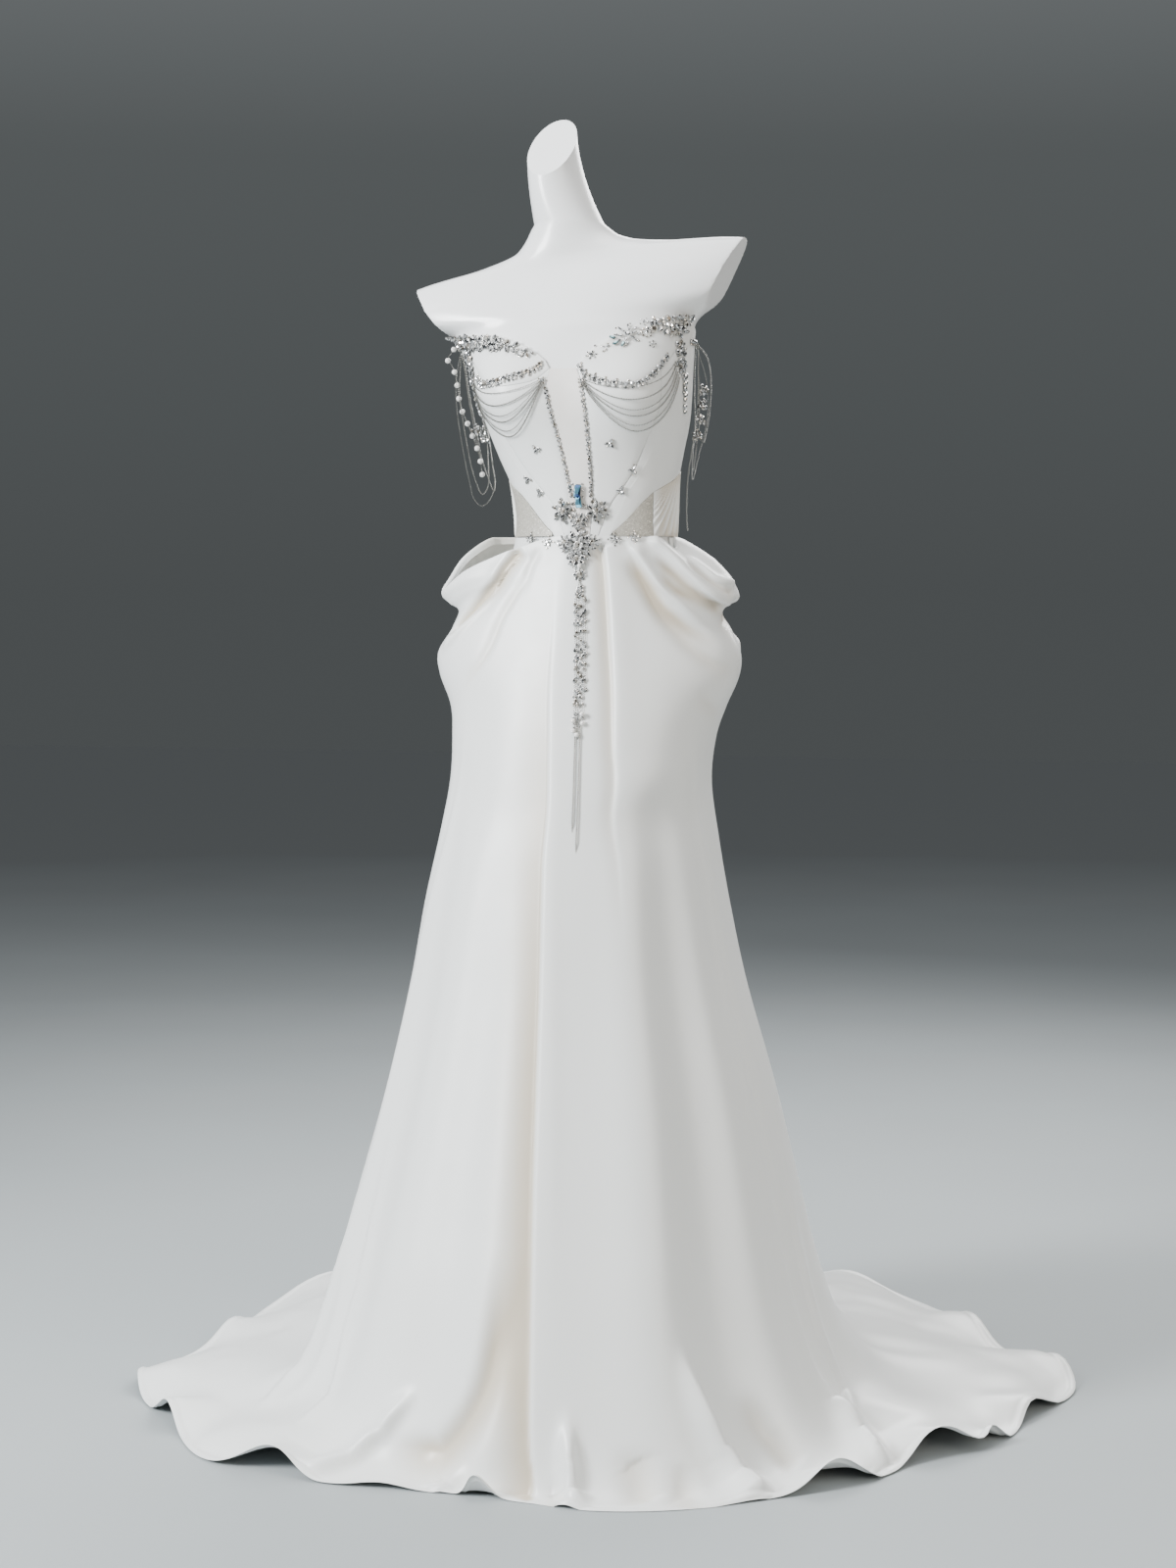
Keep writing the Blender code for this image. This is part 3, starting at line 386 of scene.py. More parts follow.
def buildForm():
    columns = form["columns"]
    angles = np.linspace(-180, 180, columns + 1)[:-1]
    angle, height = np.meshgrid(angles, np.concatenate([np.arange(*span) for span in form["rows"]]))
    points = onForm(angle, height, -form["inset"])
    above = np.maximum(height - form["armCutStart"], 0)
    limits = [foot + slope * above for foot, slope in form["armCuts"]]
    clipped = np.where(above > 0, np.clip(points[..., 0], *limits), points[..., 0])
    points[..., 2] += (clipped - points[..., 0]) * shoulderLean(height)
    points[..., 0] = clipped
    turn = np.radians(angles)
    topX = form["neckCentre"][0] + form["neckHalfWidth"] * np.sin(turn)
    topY = form["neckCentre"][1] - form["neckHalfWidth"] * form["neckDepth"] * np.cos(turn)
    topZ = form["neckLevel"] + form["neckSlope"][0] * topX + form["neckSlope"][1] * topY
    top = np.stack((topX, topY, topZ), -1)
    share = np.linspace(0, 1, form["neckRows"])[1:, None, None]
    foot = points[-1][None]
    narrowing = 1 - (1 - share) ** form["neckCurve"]
    neck = np.concatenate((blend(foot[..., :2], top[None, :, :2], narrowing),
                           blend(foot[..., 2:], top[None, :, 2:], share)), -1)
    middle = top.mean(0)
    cap = np.stack([blend(top, middle, s) for s in (0.04, 0.5)])  # slanted flat cut of the neck
    grid = np.concatenate((points, neck, cap))
    ring = np.concatenate((grid, grid[:, :1]), 1)
    faces = gridFaces(len(grid), columns + 1).tolist()
    count = len(grid) * (columns + 1)
    base = np.concatenate((ring.reshape(-1, 3), [middle, form["footCentre"]]))
    faces += [[count - columns - 1 + i, count - columns + i, count] for i in range(columns)]
    faces += [[i + 1, i, count + 1] for i in range(columns)]
    weld(newPiece("dressForm", base, faces, "form", ["form_body"], 32))


buildForm()
for node in ("stand_plate", "stand_pole"):
    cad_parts[node].data.materials.clear()
    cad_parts[node].data.materials.append(finishes["steel"])
print("form and stand done")


# the bodice

bodice = {
    # lines of (angle, height)
    "plunge": ((6.0, waistSeam), (8.3, 1.235), (9.0, 1.32), (9.0, 1.385), (7.0, 1.405)),
    "princess": ((12.0, waistSeam), (20.5, 1.2275), (33.0, 1.259), (40.0, 1.283), (46.0, 1.324),
                 (49.0, 1.362), (50.0, 1.404)),
    "underInner": ((7.0, 1.405), (13.7, 1.3915), (20.3, 1.386), (32.3, 1.383), (39.0, 1.388), (50.0, 1.404)),
    "underOuter": ((50.0, 1.404), (56.0, 1.414), (63.0, 1.427), (70.0, 1.440)),
    "cupEnd": ((70.0, 1.440), (71.5, 1.466)),
    "cupTop": ((9.0, 1.416), (14.0, 1.428), (20.0, 1.439), (28.0, 1.452), (38.0, 1.460), (46.0, 1.463),
               (58.0, 1.468), (71.5, 1.466)),
    "sideTop": ((71.5, 1.466), (85.0, 1.458), (sideSeam, sideRim)),
    "backTop": ((sideSeam, sideRim), (125.0, 1.435), (155.0, 1.420), (180.0, backRim)),
    "tip": ((12.0, waistSeam), (20.0, waistSeam + 0.0002), (22.0, waistSeam + 0.005)),
    "vLine": ((22.0, waistSeam + 0.005), (32.0, 1.208), (44.0, 1.230), (55.0, 1.246), (70.0, 1.257),
              (80.0, 1.2635), (85.0, 1.267), (sideSeam, vEnd)),
    "vSplits": {"left": 5, "right": 3},  # where along the V the mesh gives way to the pleats
    "yokes": {"left": (42.0, 128.0), "right": (74.0, 128.0)}, "yokeHeights": (1.060, waistSeam - 0.001),
    "scoopMiddle": (0.0, 1.4045),
    "placket": (177.6, 182.4, waistSeam + 0.001, 1.408),
    # pleats: how many, how deep, and how strong the painted shade is in their hollows
    "pleats": 5, "pleatDepth": 0.0065, "pleatShade": 0.8,
    "edgeRoll": 0.0011,
}


def plainPatch(low, high, foot, top, across, up):
    return np.stack(np.meshgrid(np.linspace(low, high, across + 1), np.linspace(foot, top, up + 1)), -1)


def makePanel(name, patch, finish, node, lift=layers["formGap"], relief=None,
              held="stretched", restsOn=("dressForm",)):
    angle, height = patch[..., 0], patch[..., 1]
    u = np.linspace(0, 1, patch.shape[1])[None, :]
    v = np.linspace(0, 1, patch.shape[0])[:, None]
    extra = relief(u, v) if relief else 0 * u * v
    outer = drawIn(onForm(angle, height, lift + layers["cloth"] + extra), layers["seamGap"] / 2)
    inner = drawIn(onForm(angle, height, lift + 0.6 * extra), layers["seamGap"] / 2)
    points = np.concatenate((outer.reshape(-1, 3), inner.reshape(-1, 3)))
    piece = newPiece(name, points, wallFaces(outer, inner), finish, [node])
    if relief is sidePleat:
        # painted shade in the hollows of the side pleats
        pleatShadeMask = np.clip(1 - 1.6 * extra / bodice["pleatDepth"], 0, 1) * np.clip(6 * u * (1 - u), 0, 1)
        addLayer(piece.data, "paintedShade", "POINT", np.tile(bodice["pleatShade"] * pleatShadeMask.ravel(), 2))


def foldEdge(u, v):  # seams sink a little, so each panel looks filled out
    near = np.minimum(np.minimum(u, 1 - u) * 6, 1) * np.minimum(np.minimum(v, 1 - v) * 10, 1)
    return bodice["edgeRoll"] * (np.sqrt(np.clip(near, 0, 1)) - 1)


def sidePleat(u, v):
    fan = (u - 0.58 * v) / (1 - 0.62 * v)  # the pleats run together at the top of the side seam
    fade = np.sqrt(np.clip(np.sin(math.pi * u) * np.sin(math.pi * v), 0, 1))
    wave = 0.5 + 0.5 * np.cos(2 * math.pi * bodice["pleats"] * fan + 0.8 * np.sin(5 * v))
    return bodice["pleatDepth"] * fade * (1 - 0.4 * v) * wave ** 1.4


def buildBodice():
    for side, sign in (("Left", -1), ("Right", 1)):
        def line(points, steps):
            return sampleLine(points, steps) * (sign, 1)

        def level(height, low, high, steps):
            return line(((low, height), (high, height)), steps)

        def upright(angle, low, high, steps):
            return line(((angle, low), (angle, high)), steps)

        def panel(name, cad, finish, patch, **settings):
            makePanel(name + side, patch, finish, cad + "_" + side.lower(), **settings)

        split = bodice["vSplits"][side.lower()]
        meshEdge, meshTop = bodice["vLine"][split]
        innerV, outerV = bodice["vLine"][:split + 1], bodice["vLine"][split:]
        tipEdge, tipTop = bodice["tip"][-1]
        plunge, princess = line(bodice["plunge"], 60), line(bodice["princess"], 60)
        inner, outer = line(bodice["underInner"], 36), line(bodice["underOuter"], 14)
        sideFoot = np.concatenate((line(bodice["tip"], 8), line(innerV, 30)[1:], line(outerV, 12)[1:]))
        sideTop = np.concatenate((outer, line(bodice["cupEnd"], 6)[1:], line(bodice["sideTop"], 30)[1:]))
        panel("bodiceFront", "bodice_front", "satin", relief=foldEdge,
              patch=fillPatch(line((bodice["plunge"][0], bodice["princess"][0]), 36), princess, inner,
                              plunge))
        panel("bodiceSide", "bodice_side", "satin", relief=foldEdge,
              patch=fillPatch(sideFoot, upright(sideSeam, vEnd, sideRim, 60), sideTop, princess))
        panel("cup", "cup", "satin", relief=foldEdge,
              patch=fillPatch(np.concatenate((inner, outer[1:])), line(bodice["cupEnd"], 18),
                              line(bodice["cupTop"], 50),
                              line((bodice["underInner"][0], bodice["cupTop"][0]), 18)))
        panel("bodiceBack", "bodice_back", "satin", relief=foldEdge,
              patch=fillPatch(level(waistSeam, sideSeam, 180.0, 40), upright(180.0, waistSeam, backRim, 60),
                              line(bodice["backTop"], 40), upright(sideSeam, waistSeam, sideRim, 60)))
        panel("waistMesh", "waist_mesh", "mesh",
              patch=fillPatch(level(waistSeam, tipEdge, meshEdge, 30),
                              upright(meshEdge, waistSeam, meshTop, 20),
                              line(innerV, 30), upright(tipEdge, waistSeam, tipTop, 20)))
        panel("sidePleats", "side_pleats", "satin", relief=sidePleat,
              patch=fillPatch(level(waistSeam, meshEdge, sideSeam, 90),
                              upright(sideSeam, waistSeam, vEnd, 30),
                              line(outerV, 90), upright(meshEdge, waistSeam, meshTop, 30)))
        panel("hipYoke", "hip_yoke", "satin", lift=layers["yokeGap"],
              patch=plainPatch(*bodice["yokes"][side.lower()], *bodice["yokeHeights"], 40, 16) * (sign, 1))
    left, right = sampleLine(mirrorLine(bodice["plunge"]), 60), sampleLine(bodice["plunge"], 60)
    scoop = sampleLine((left[-1], bodice["scoopMiddle"], right[-1]), 12)
    makePanel("plungeGusset", fillPatch(sampleLine((left[0], right[0]), 12), right, scoop, left),
              "sheer", "plunge_gusset")
    makePanel("backPlacket", plainPatch(*bodice["placket"], 6, 60), "satin", "back_placket",
              lift=onPanel + layers["placketGap"], held="laid", restsOn=("bodiceBackLeft", "bodiceBackRight"))


buildBodice()
print("bodice done")


# the skirt

skirt = {
    # rows down the fall: front height, front depth, side height, half width to -X, to +X, back height,
    # back depth, ease
    "stations": (
        (1.1868, 0.084, 1.186, 0.157, 0.141, 1.1868, 0.078, 0.002),
        (1.180, 0.0858, 1.160, 0.181, 0.172, 1.160, 0.086, 0.006),
        (1.172, 0.0876, 1.134, 0.194, 0.196, 1.130, 0.095, 0.008),
        (1.162, 0.0900, 1.112, 0.204, 0.203, 1.100, 0.105, 0.010),
        (1.151, 0.0925, 1.099, 0.193, 0.195, 1.085, 0.110, 0.012),
        (1.138, 0.0955, 1.088, 0.179, 0.188, 1.070, 0.117, 0.013),
        (1.116, 0.1003, 1.062, 0.190, 0.197, 1.040, 0.127, 0.014),
        (1.086, 0.107, 1.032, 0.208, 0.208, 1.010, 0.136, 0.016),
        (1.044, 0.117, 1.002, 0.205, 0.205, 0.980, 0.143, 0.020),
        (0.985, 0.131, 0.961, 0.189, 0.187, 0.940, 0.152, 0.030),
        (0.925, 0.144, 0.921, 0.186, 0.173, 0.900, 0.163, 0.036),
        (0.860, 0.156, 0.862, 0.188, 0.166, 0.840, 0.181, 0.040),
        (0.790, 0.170, 0.790, 0.201, 0.174, 0.770, 0.203, 0.0),
        (0.700, 0.190, 0.700, 0.220, 0.188, 0.680, 0.235, 0.0),
        (0.590, 0.215, 0.590, 0.238, 0.210, 0.560, 0.278, 0.0),
        (0.455, 0.250, 0.455, 0.267, 0.247, 0.420, 0.328, 0.0),
        (0.320, 0.290, 0.320, 0.301, 0.279, 0.280, 0.378, 0.0),
        (0.210, 0.325, 0.210, 0.331, 0.305, 0.170, 0.418, 0.0),
        (0.110, 0.352, 0.110, 0.354, 0.338, 0.085, 0.458, 0.0),
        (0.040, 0.372, 0.042, 0.382, 0.372, 0.036, 0.500, 0.0),
    ),
    # hem on the floor: angle from the front, radius
    "hem": (
        (-180, 0.720), (-134, 0.723), (-126, 0.729), (-110, 0.639), (-99, 0.626), (-86, 0.644),
        (-66, 0.566), (-50, 0.546), (-37, 0.488), (-19, 0.420), (-8, 0.400), (4, 0.405),
        (14, 0.425), (32, 0.439), (43, 0.443), (61, 0.478), (75, 0.492), (84, 0.560),
        (97, 0.600), (111, 0.690), (129, 0.664), (155, 0.750), (180, 0.720),
    ),
    "folds": 11, "foldDepth": 0.011, "poolFolds": 9, "poolRise": 0.016, "trainRise": 0.030,
    "floorGap": 0.0012,
    "notch": (70, 16, 0.020),  # of the right drape's edge: angle, width, drop
    "leavesForm": (10.6, 12.4),  # stations between which the front and the back let go of the form
    # where the open hip drape starts down the cloth: angle, station
    "openRim": ((-180, 0), (-114, 0), (-106, 0.3), (-97, 1.1), (-89, 2.1), (-81, 2.85), (-74, 3.0),
                (-66, 2.9), (-56, 2.55), (-45, 1.95), (-34, 1.15), (-24, 0.45), (-14, 0), (180, 0)),
    "rimEnd": 9,  # station below which the rows are level again
    "rimRadius": (0.0004, 0.0024),  # of its turned edge: where it is sewn, more where it is open
    "hemTurns": ((0.0004, -0.0006), (-0.004, -0.0007)),  # steps of the hem's turned edge: outwards, up
    "columns": 400,
    # rows of the mesh: from, to, how many
    "rows": ((0, 9, 82), (9, 16, 52), (16, 19, 34), (19, 22.85, 54), (22.85, 23, 8)),
}
fallEnd, hemEnd = 19, 23  # stations where the fall meets the floor and where the cloth ends
stationTable = np.column_stack((np.arange(fallEnd + 1), np.array(skirt["stations"])))
poolShares = ((fallEnd, 0.0), (20, 0.25), (21, 0.52), (22, 0.78), (hemEnd, 1.0))


def slingShare(angle):
    wide = np.abs(angle)
    leaves = np.where(angle > 0, smoothStep(25, 88, wide), smoothStep(12, 55, wide))
    return leaves * (1 - smoothStep(118, 158, wide))


def foldHeight(angle, station):
    growth = smoothStep(9, 18, station)
    calm = 1 - 0.7 * bell(angle, 8, 34)
    uneven = 1 + 0.3 * np.sin(np.radians(angle) * 2 + 0.8)
    return skirt["foldDepth"] * growth * calm * uneven * np.cos(np.radians(angle) * skirt["folds"] + 0.6)


def skirtPoint(angle, station):
    angle, station = np.broadcast_arrays(np.asarray(angle, float), np.asarray(station, float))
    falling = np.minimum(station, fallEnd)
    (frontHeight, front, sideHeight, left, right, backHeight, back,
     ease) = np.moveaxis(readTable(stationTable, falling), -1, 0)
    turn = np.radians(angle)
    side, ahead = np.sin(turn), np.cos(turn)
    height = blend(np.where(ahead > 0, frontHeight, backHeight), sideHeight, side * side)
    notchAngle, notchWidth, notchDrop = skirt["notch"]
    height = height - notchDrop * bell(angle, notchAngle, notchWidth) * np.maximum(1 - station / 4, 0) ** 1.5
    reach = np.where(side < 0, left, right) + foldHeight(angle, falling)
    depth = np.where(ahead > 0, front, back) + foldHeight(angle, falling)
    point = np.stack((reach * side, -depth * ahead, height), -1)
    section = readTable(form["sections"], np.maximum(height, 0.9))
    hugging = point.copy()
    hugging[..., 0] = section[..., 0] + (section[..., 2] + ease) * side
    share = slingShare(angle)
    hugs = (1 - share) * (1 - smoothStep(*skirt["leavesForm"], station))
    point = blend(point, hugging, hugs[..., None])
    sewn = onForm(angle, np.full_like(angle, waistSeam + 0.0001), np.full_like(angle, onPanel - 0.001))
    loose = share * (1 - smoothStep(70, 86, angle))  # the right drape is sewn down again past its notch
    sewnShare = (1 - loose) * np.clip(1 - station, 0, 1)
    point = blend(point, sewn, sewnShare[..., None])
    foot = np.hypot(point[..., 0], point[..., 1])
    heading = np.degrees(np.arctan2(point[..., 0], -point[..., 1]))
    hem = readTable(skirt["hem"], heading)[..., 0]
    share = np.interp(station, *np.array(poolShares).T)
    spreadOut = smoothStep(0.03, 0.20, hem - foot)
    waves = 0.5 + 0.5 * np.sin(np.radians(heading) * skirt["poolFolds"] + share * 4.0)
    ripple = spreadOut * (skirt["trainRise"] + skirt["poolRise"] * waves)
    ripple = ripple * np.sin(math.pi * np.minimum(share * 0.9 + 0.09, 1))
    settled = blend(point[..., 2], skirt["floorGap"], smoothStep(0, 0.40, share))
    outward = point[..., :2] / np.maximum(foot, 1e-9)[..., None]
    pooled = np.concatenate((outward * blend(foot, hem, share)[..., None],
                             (settled + ripple)[..., None]), -1)
    return np.where((station > fallEnd)[..., None], pooled, point)


# each crease: (angle, station) points, depth of the trough (a minus makes a ridge), width of its
# near and its far side, how much painted warm shade its trough gets, how early it fades at its start
# and its end, and for some its width at the end as a share of that at the start
creases = (
    (((-17, 3.2), (-12, 7.40), (-9.5, 9.4), (-7, 11.5), (-4, 13.7), (-2, 15.15), (0, 16.5), (1.2, 17.6),
      (2, 18.6), (3, 19.6), (3.4, 21.0), (2.6, 23.0)), 0.0090, 0.0045, 0.036, 1.0, 0.45, 0.06),
    (((-12.5, 3.2), (-8.5, 7.4), (-6, 9.4), (-3.5, 11.5), (0, 13.7), (3, 15.15), (5, 16.5), (6.5, 17.6)),
     -0.0022, 0.016, 0.030, 0, 0.35, 0.4),
    (((13.2, 1.2), (14, 2.6), (16, 6.15), (18, 8.4), (21, 10.6), (26, 12.35), (27, 13.7)),
     0.0062, 0.0038, 0.012, 0.7, 0.05, 0.6),
    (((17, 1.0), (18.5, 2.6), (20.5, 6.15), (22.5, 8.4), (25, 10.6), (29, 12.35)),
     -0.0026, 0.020, 0.008, 0, 0.1, 0.5),
    (((-33, 0.9), (-35, 2.3), (-39, 4.0), (-48, 5.2), (-58, 5.9), (-66, 6.4)),
     0.0092, 0.013, 0.006, 1.0, 0.1, 0.1),
    (((-30, 1.0), (-36, 3.3), (-43, 5.2), (-50, 6.2), (-57, 6.9), (-68, 7.2)),
     -0.0060, 0.006, 0.013, 0, 0.15, 0.2),
    (((-28, 4.5), (-33, 6.15), (-38, 7.85), (-54, 8.95)), 0.0026, 0.004, 0.010, 0.3, 0.3, 0.3),
    (((-24, 1.0), (-27, 3.6), (-30, 6.5)), 0.0020, 0.007, 0.007, 0.15, 0.3, 0.5),
    (((46, 0.3), (54, 0.95), (58, 2.0), (65, 3.1), (76, 3.8), (92, 4.1)),
     -0.0085, 0.014, 0.0036, 0, 0.1, 0.2),
    (((45, 1.4), (53, 2.4), (60, 3.5), (70, 4.3), (86, 4.7)), 0.0062, 0.005, 0.010, 0.9, 0.2, 0.15),
    (((70, 0.4), (71, 1.0), (73, 1.9), (82, 2.2), (92, 2.1)), -0.0055, 0.009, 0.0045, 0, 0.2, 0.2),
    (((63, 0.9), (67, 1.8), (74, 2.7), (84, 2.9)), 0.0042, 0.005, 0.008, 0.6, 0.2, 0.2),
    (((31, 0.4), (38, 2.3), (46, 4.5), (54, 5.4), (63, 5.9), (74, 6.1)),
     -0.0085, 0.012, 0.0036, 0, 0.15, 0.45),
    (((31, 1.6), (37, 3.5), (45, 5.5), (54, 6.2), (63, 6.6), (74, 6.8)),
     0.0064, 0.005, 0.014, 1.0, 0.2, 0.5),
    (((44, 2.7), (50, 3.9), (57, 4.4), (70, 4.6)), 0.0036, 0.007, 0.009, 0.9, 0.3, 0.5),
    (((34, 2.4), (42, 5.6), (52, 6.9), (66, 7.6), (84, 7.8)), 0.0028, 0.007, 0.013, 0.35, 0.25, 0.3),
    (((72, 6.0), (80, 5.7), (88, 5.3), (98, 4.9), (112, 4.3)), 0.0055, 0.008, 0.016, 0.8, 0.5, 0.1),
    (((59, 8.6), (70, 8.9), (92, 9.35)), 0.0022, 0.008, 0.014, 0.2, 0.5, 0.4),
    (((-96, 5.3), (-84, 5.9), (-72, 6.3)), 0.0050, 0.006, 0.009, 0.6, 0.2, 0.2),
    (((122, 0.8), (108, 2.6), (96, 3.9)), -0.0050, 0.010, 0.008, 0, 0.3, 0.3),
    (((-126, 0.8), (-112, 2.6), (-100, 3.9)), -0.0050, 0.010, 0.008, 0, 0.3, 0.3),
    (((150, 1.6), (132, 4.0), (112, 6.0), (98, 6.8)), -0.0060, 0.014, 0.008, 0, 0.25, 0.2),
    (((-150, 1.6), (-134, 4.0), (-116, 6.0), (-102, 6.8)), -0.0060, 0.014, 0.008, 0, 0.25, 0.2),
    (((154, 2.6), (136, 5.2), (116, 7.2)), 0.0050, 0.008, 0.012, 0.6, 0.25, 0.3),
    (((-154, 2.6), (-136, 5.2), (-116, 7.2)), 0.0050, 0.008, 0.012, 0.6, 0.25, 0.3),
    (((168, 2), (166, 8), (162, 13), (158, 18)), 0.0060, 0.012, 0.020, 0.3, 0.3, 0.3),
    (((-168, 2), (-166, 8), (-162, 13), (-158, 18)), 0.0060, 0.012, 0.020, 0.3, 0.3, 0.3),
    (((-6, 16.2), (-6.5, 17.1), (-8, 17.8), (-12, 18.5), (-18, 19.2), (-27, 19.6)),
     0.0120, 0.030, 0.014, 0.9, 0.3, 0.2),
    (((-60, 14.2), (-56, 16.25), (-54, 16.95), (-55, 17.75), (-50, 18.9), (-46, 20.5)),
     -0.0070, 0.014, 0.006, 0, 0.4, 0.1),
    (((-70, 15.0), (-65, 16.4), (-67, 17.3), (-70, 18.2), (-66, 19.4), (-60, 20.6)),
     -0.0070, 0.012, 0.006, 0, 0.4, 0.1),
    (((92, 14.8), (86, 16.3), (84, 17.25), (81, 18.6), (73, 20.3), (66, 22.4)),
     -0.0080, 0.014, 0.006, 0, 0.4, 0.1),
    (((12.5, 23.2), (11.5, 21.0), (11, 19.75), (10.5, 18.8), (10, 18.0)),
     -0.019, 0.019, 0.015, 0, 0.20, 0.30, 0.55),
    (((8.5, 23.0), (8, 21.0), (8, 19.4)), 0.008, 0.012, 0.012, 0.3, 0.05, 0.4, 0.5),
    (((44, 23.2), (43.5, 21.6), (42, 19.95), (38.5, 18.25), (36, 17.3)),
     -0.022, 0.032, 0.018, 0, 0.20, 0.30, 0.35),
    (((30, 23.0), (31, 20.8), (32, 19.0)), 0.008, 0.022, 0.022, 0.35, 0.05, 0.4, 0.6),
    (((66, 23.2), (70, 21.0), (73, 19.4), (75, 18.0)), -0.018, 0.036, 0.020, 0, 0.20, 0.30, 0.5),
    (((-36, 23.2), (-33, 21.0), (-31, 19.65), (-28, 18.6), (-24, 18.0)),
     -0.016, 0.018, 0.014, 0, 0.20, 0.30, 0.5),
    (((-14, 23.0), (-13, 20.8), (-11, 19.2)), -0.010, 0.022, 0.022, 0, 0.2, 0.5, 0.5),
    (((24, 21.5), (23, 19.8), (22, 18.6)), 0.0080, 0.020, 0.024, 0.4, 0.2, 0.3),
    (((54, 20.6), (52, 19.2), (50, 18.0)), 0.0080, 0.016, 0.020, 0.4, 0.2, 0.3),
)
# arches along the hem: heading, lift of the edge, half width in degrees, how many stations it reaches
# back up the cloth, how far it pulls the edge in
flutes = (
    (-5.5, 0.034, 2.6, 2.2, -0.020), (-40.5, 0.036, 5.0, 2.0, 0.010), (56, 0.038, 5.6, 2.2, 0.004),
    (-68, 0.030, 4.0, 1.8, 0.000), (78, 0.040, 5.0, 2.0, 0.000), (86, 0.022, 2.4, 1.4, 0.010),
    (99, 0.022, 3.6, 1.6, 0.006), (-23, 0.008, 5.0, 1.6, 0.0), (116, 0.026, 4.5, 1.8, 0.0),
    (-84, 0.020, 4.0, 1.6, 0.0), (135, 0.028, 5.5, 1.8, 0.0), (-108, 0.026, 5.0, 1.8, 0.0),
    (-132, 0.028, 6.0, 1.8, 0.0), (160, 0.024, 5.0, 1.6, 0.0), (-158, 0.026, 5.5, 1.6, 0.0),
)
# waves drawn by chance, all lengths in metres but those of the uprights' widths, which are degrees
ripples = {
    "lying": 26, "lyingLength": (0.05, 0.20), "lyingHeight": 0.004,  # height for each metre of length
    "uprights": 16, "uprightHeading": (62, 298), "uprightWidth": (2.0, 5.0), "uprightTop": (8, 14),
    "uprightHeight": 0.004,
}
# rolled edge and stitch line of the hem: height, distance from the edge, width
hemRelief = ((0.0016, 0.0045, 0.0035), (-0.0012, 0.0115, 0.0022))


def headingOf(points):
    return np.degrees(np.arctan2(points[..., 0], -points[..., 1]))


def turnFrom(heading, centre):
    return (heading - centre + 180) % 360 - 180


def settleFoot(points, station):  # rounds the run from the fall on to the floor
    run = 13 * smoothStep(15.5, 18.5, station[:, 0]) * (1 - smoothStep(21.6, hemEnd, station[:, 0]))
    rows = np.arange(len(points))
    weights = np.exp(-((rows[:, None] - rows[None]) / np.maximum(run, 0.05)[:, None]) ** 2)
    weights /= weights.sum(1, keepdims=True)
    return np.einsum("ij,jkl->ikl", weights, points)


def gridNormals(points):
    across = np.roll(points, -1, 1) - np.roll(points, 1, 1)
    down = np.gradient(points, axis=0)
    return unit(np.cross(down, across))


def pressCrease(points, normals, paintedShade, crease):
    line, depth, nearSide, farSide, shadeAmount, fadeIn, fadeOut = crease[:7]
    taper = crease[7] if len(crease) > 7 else 1.0  # width at its end, as a share of its start
    path = np.column_stack((np.arange(len(line)), np.array(line, float)))
    dense = readTable(path, np.linspace(0, len(line) - 1, 8 * len(line)))
    route = skirtPoint(dense[:, 0], dense[:, 1])
    widest = 2.6 * max(nearSide, farSide)
    near = np.all((points > route.min(0) - widest) & (points < route.max(0) + widest), -1)
    p, n = points[near], normals[near]
    best = np.full(len(p), 9.0)
    place = np.zeros(len(p))
    signed = np.zeros(len(p))
    for number, (start, end) in enumerate(zip(route[:-1], route[1:])):
        run = end - start
        share = np.clip((p - start) @ run / np.dot(run, run), 0, 1)
        away = p - start - share[:, None] * run
        distance = np.linalg.norm(away, axis=1)
        sideOf = np.einsum("ij,ij->i", np.cross(np.broadcast_to(run, n.shape), n), away)
        closer = distance < best
        best = np.where(closer, distance, best)
        place = np.where(closer, (number + share) / (len(route) - 1), place)
        signed = np.where(closer, np.sign(sideOf) * distance, signed)
    fade = smoothStep(0, fadeIn, place) * (1 - smoothStep(1 - fadeOut, 1.0, place))
    signed = signed / blend(1.0, taper, place)
    profile = np.where(signed > 0, bell(signed, 0, farSide), bell(signed, 0, nearSide)) * fade
    points[near] -= n * (depth * profile)[:, None]
    # the trough also gets painted warm shade in its colour
    paintedShade[near] += shadeAmount * profile * (depth > 0)


def raiseFlutes(points, station):  # the hem stands up from the floor in small arches
    heading = headingOf(points)
    outward = unit(points * (1, 1, 0))
    for place, lift, width, reach, pull in flutes:
        away = turnFrom(heading, place)
        run = np.clip((station - (hemEnd - reach)) / reach, 0, 1) ** 1.3
        rise = bell(away, 0, width) * run
        sink = bell(np.abs(away), 1.9 * width, 0.8 * width) * run
        room = 0.6 * np.maximum(points[..., 2] - 0.002, 0)
        points[..., 2] += lift * rise - np.minimum(0.25 * lift * sink, room)
        points -= outward * (pull * rise)[..., None]


def wrinkle(points, station):  # none of it on the smooth front panel
    heading = headingOf(points)
    x, y = points[..., 0], points[..., 1]
    onFloor = smoothStep(20.0, 21.2, station) * (1 - smoothStep(22.5, hemEnd, station))
    onFloor = onFloor * smoothStep(0.45, 0.62, np.hypot(x, y))
    relief = np.zeros(station.shape)
    for _ in range(ripples["lying"]):
        way, phase = dice.uniform(0, 2 * math.pi, 2)
        length = dice.uniform(*ripples["lyingLength"])
        wave = np.sin((x * math.cos(way) + y * math.sin(way)) * 2 * math.pi / length + phase)
        relief += ripples["lyingHeight"] * length * wave * onFloor
    for number in range(ripples["uprights"]):
        centre, width = dice.uniform(*ripples["uprightHeading"]), dice.uniform(*ripples["uprightWidth"])
        top = dice.uniform(*ripples["uprightTop"])
        away = turnFrom(heading, centre) + 2 * np.sin(station * 0.7 + number)
        relief += (ripples["uprightHeight"] * bell(away, 0, width)
                   * smoothStep(top, top + 4, station) * (1 - smoothStep(19.5, 21.5, station)))
    points += gridNormals(points) * relief[..., None]


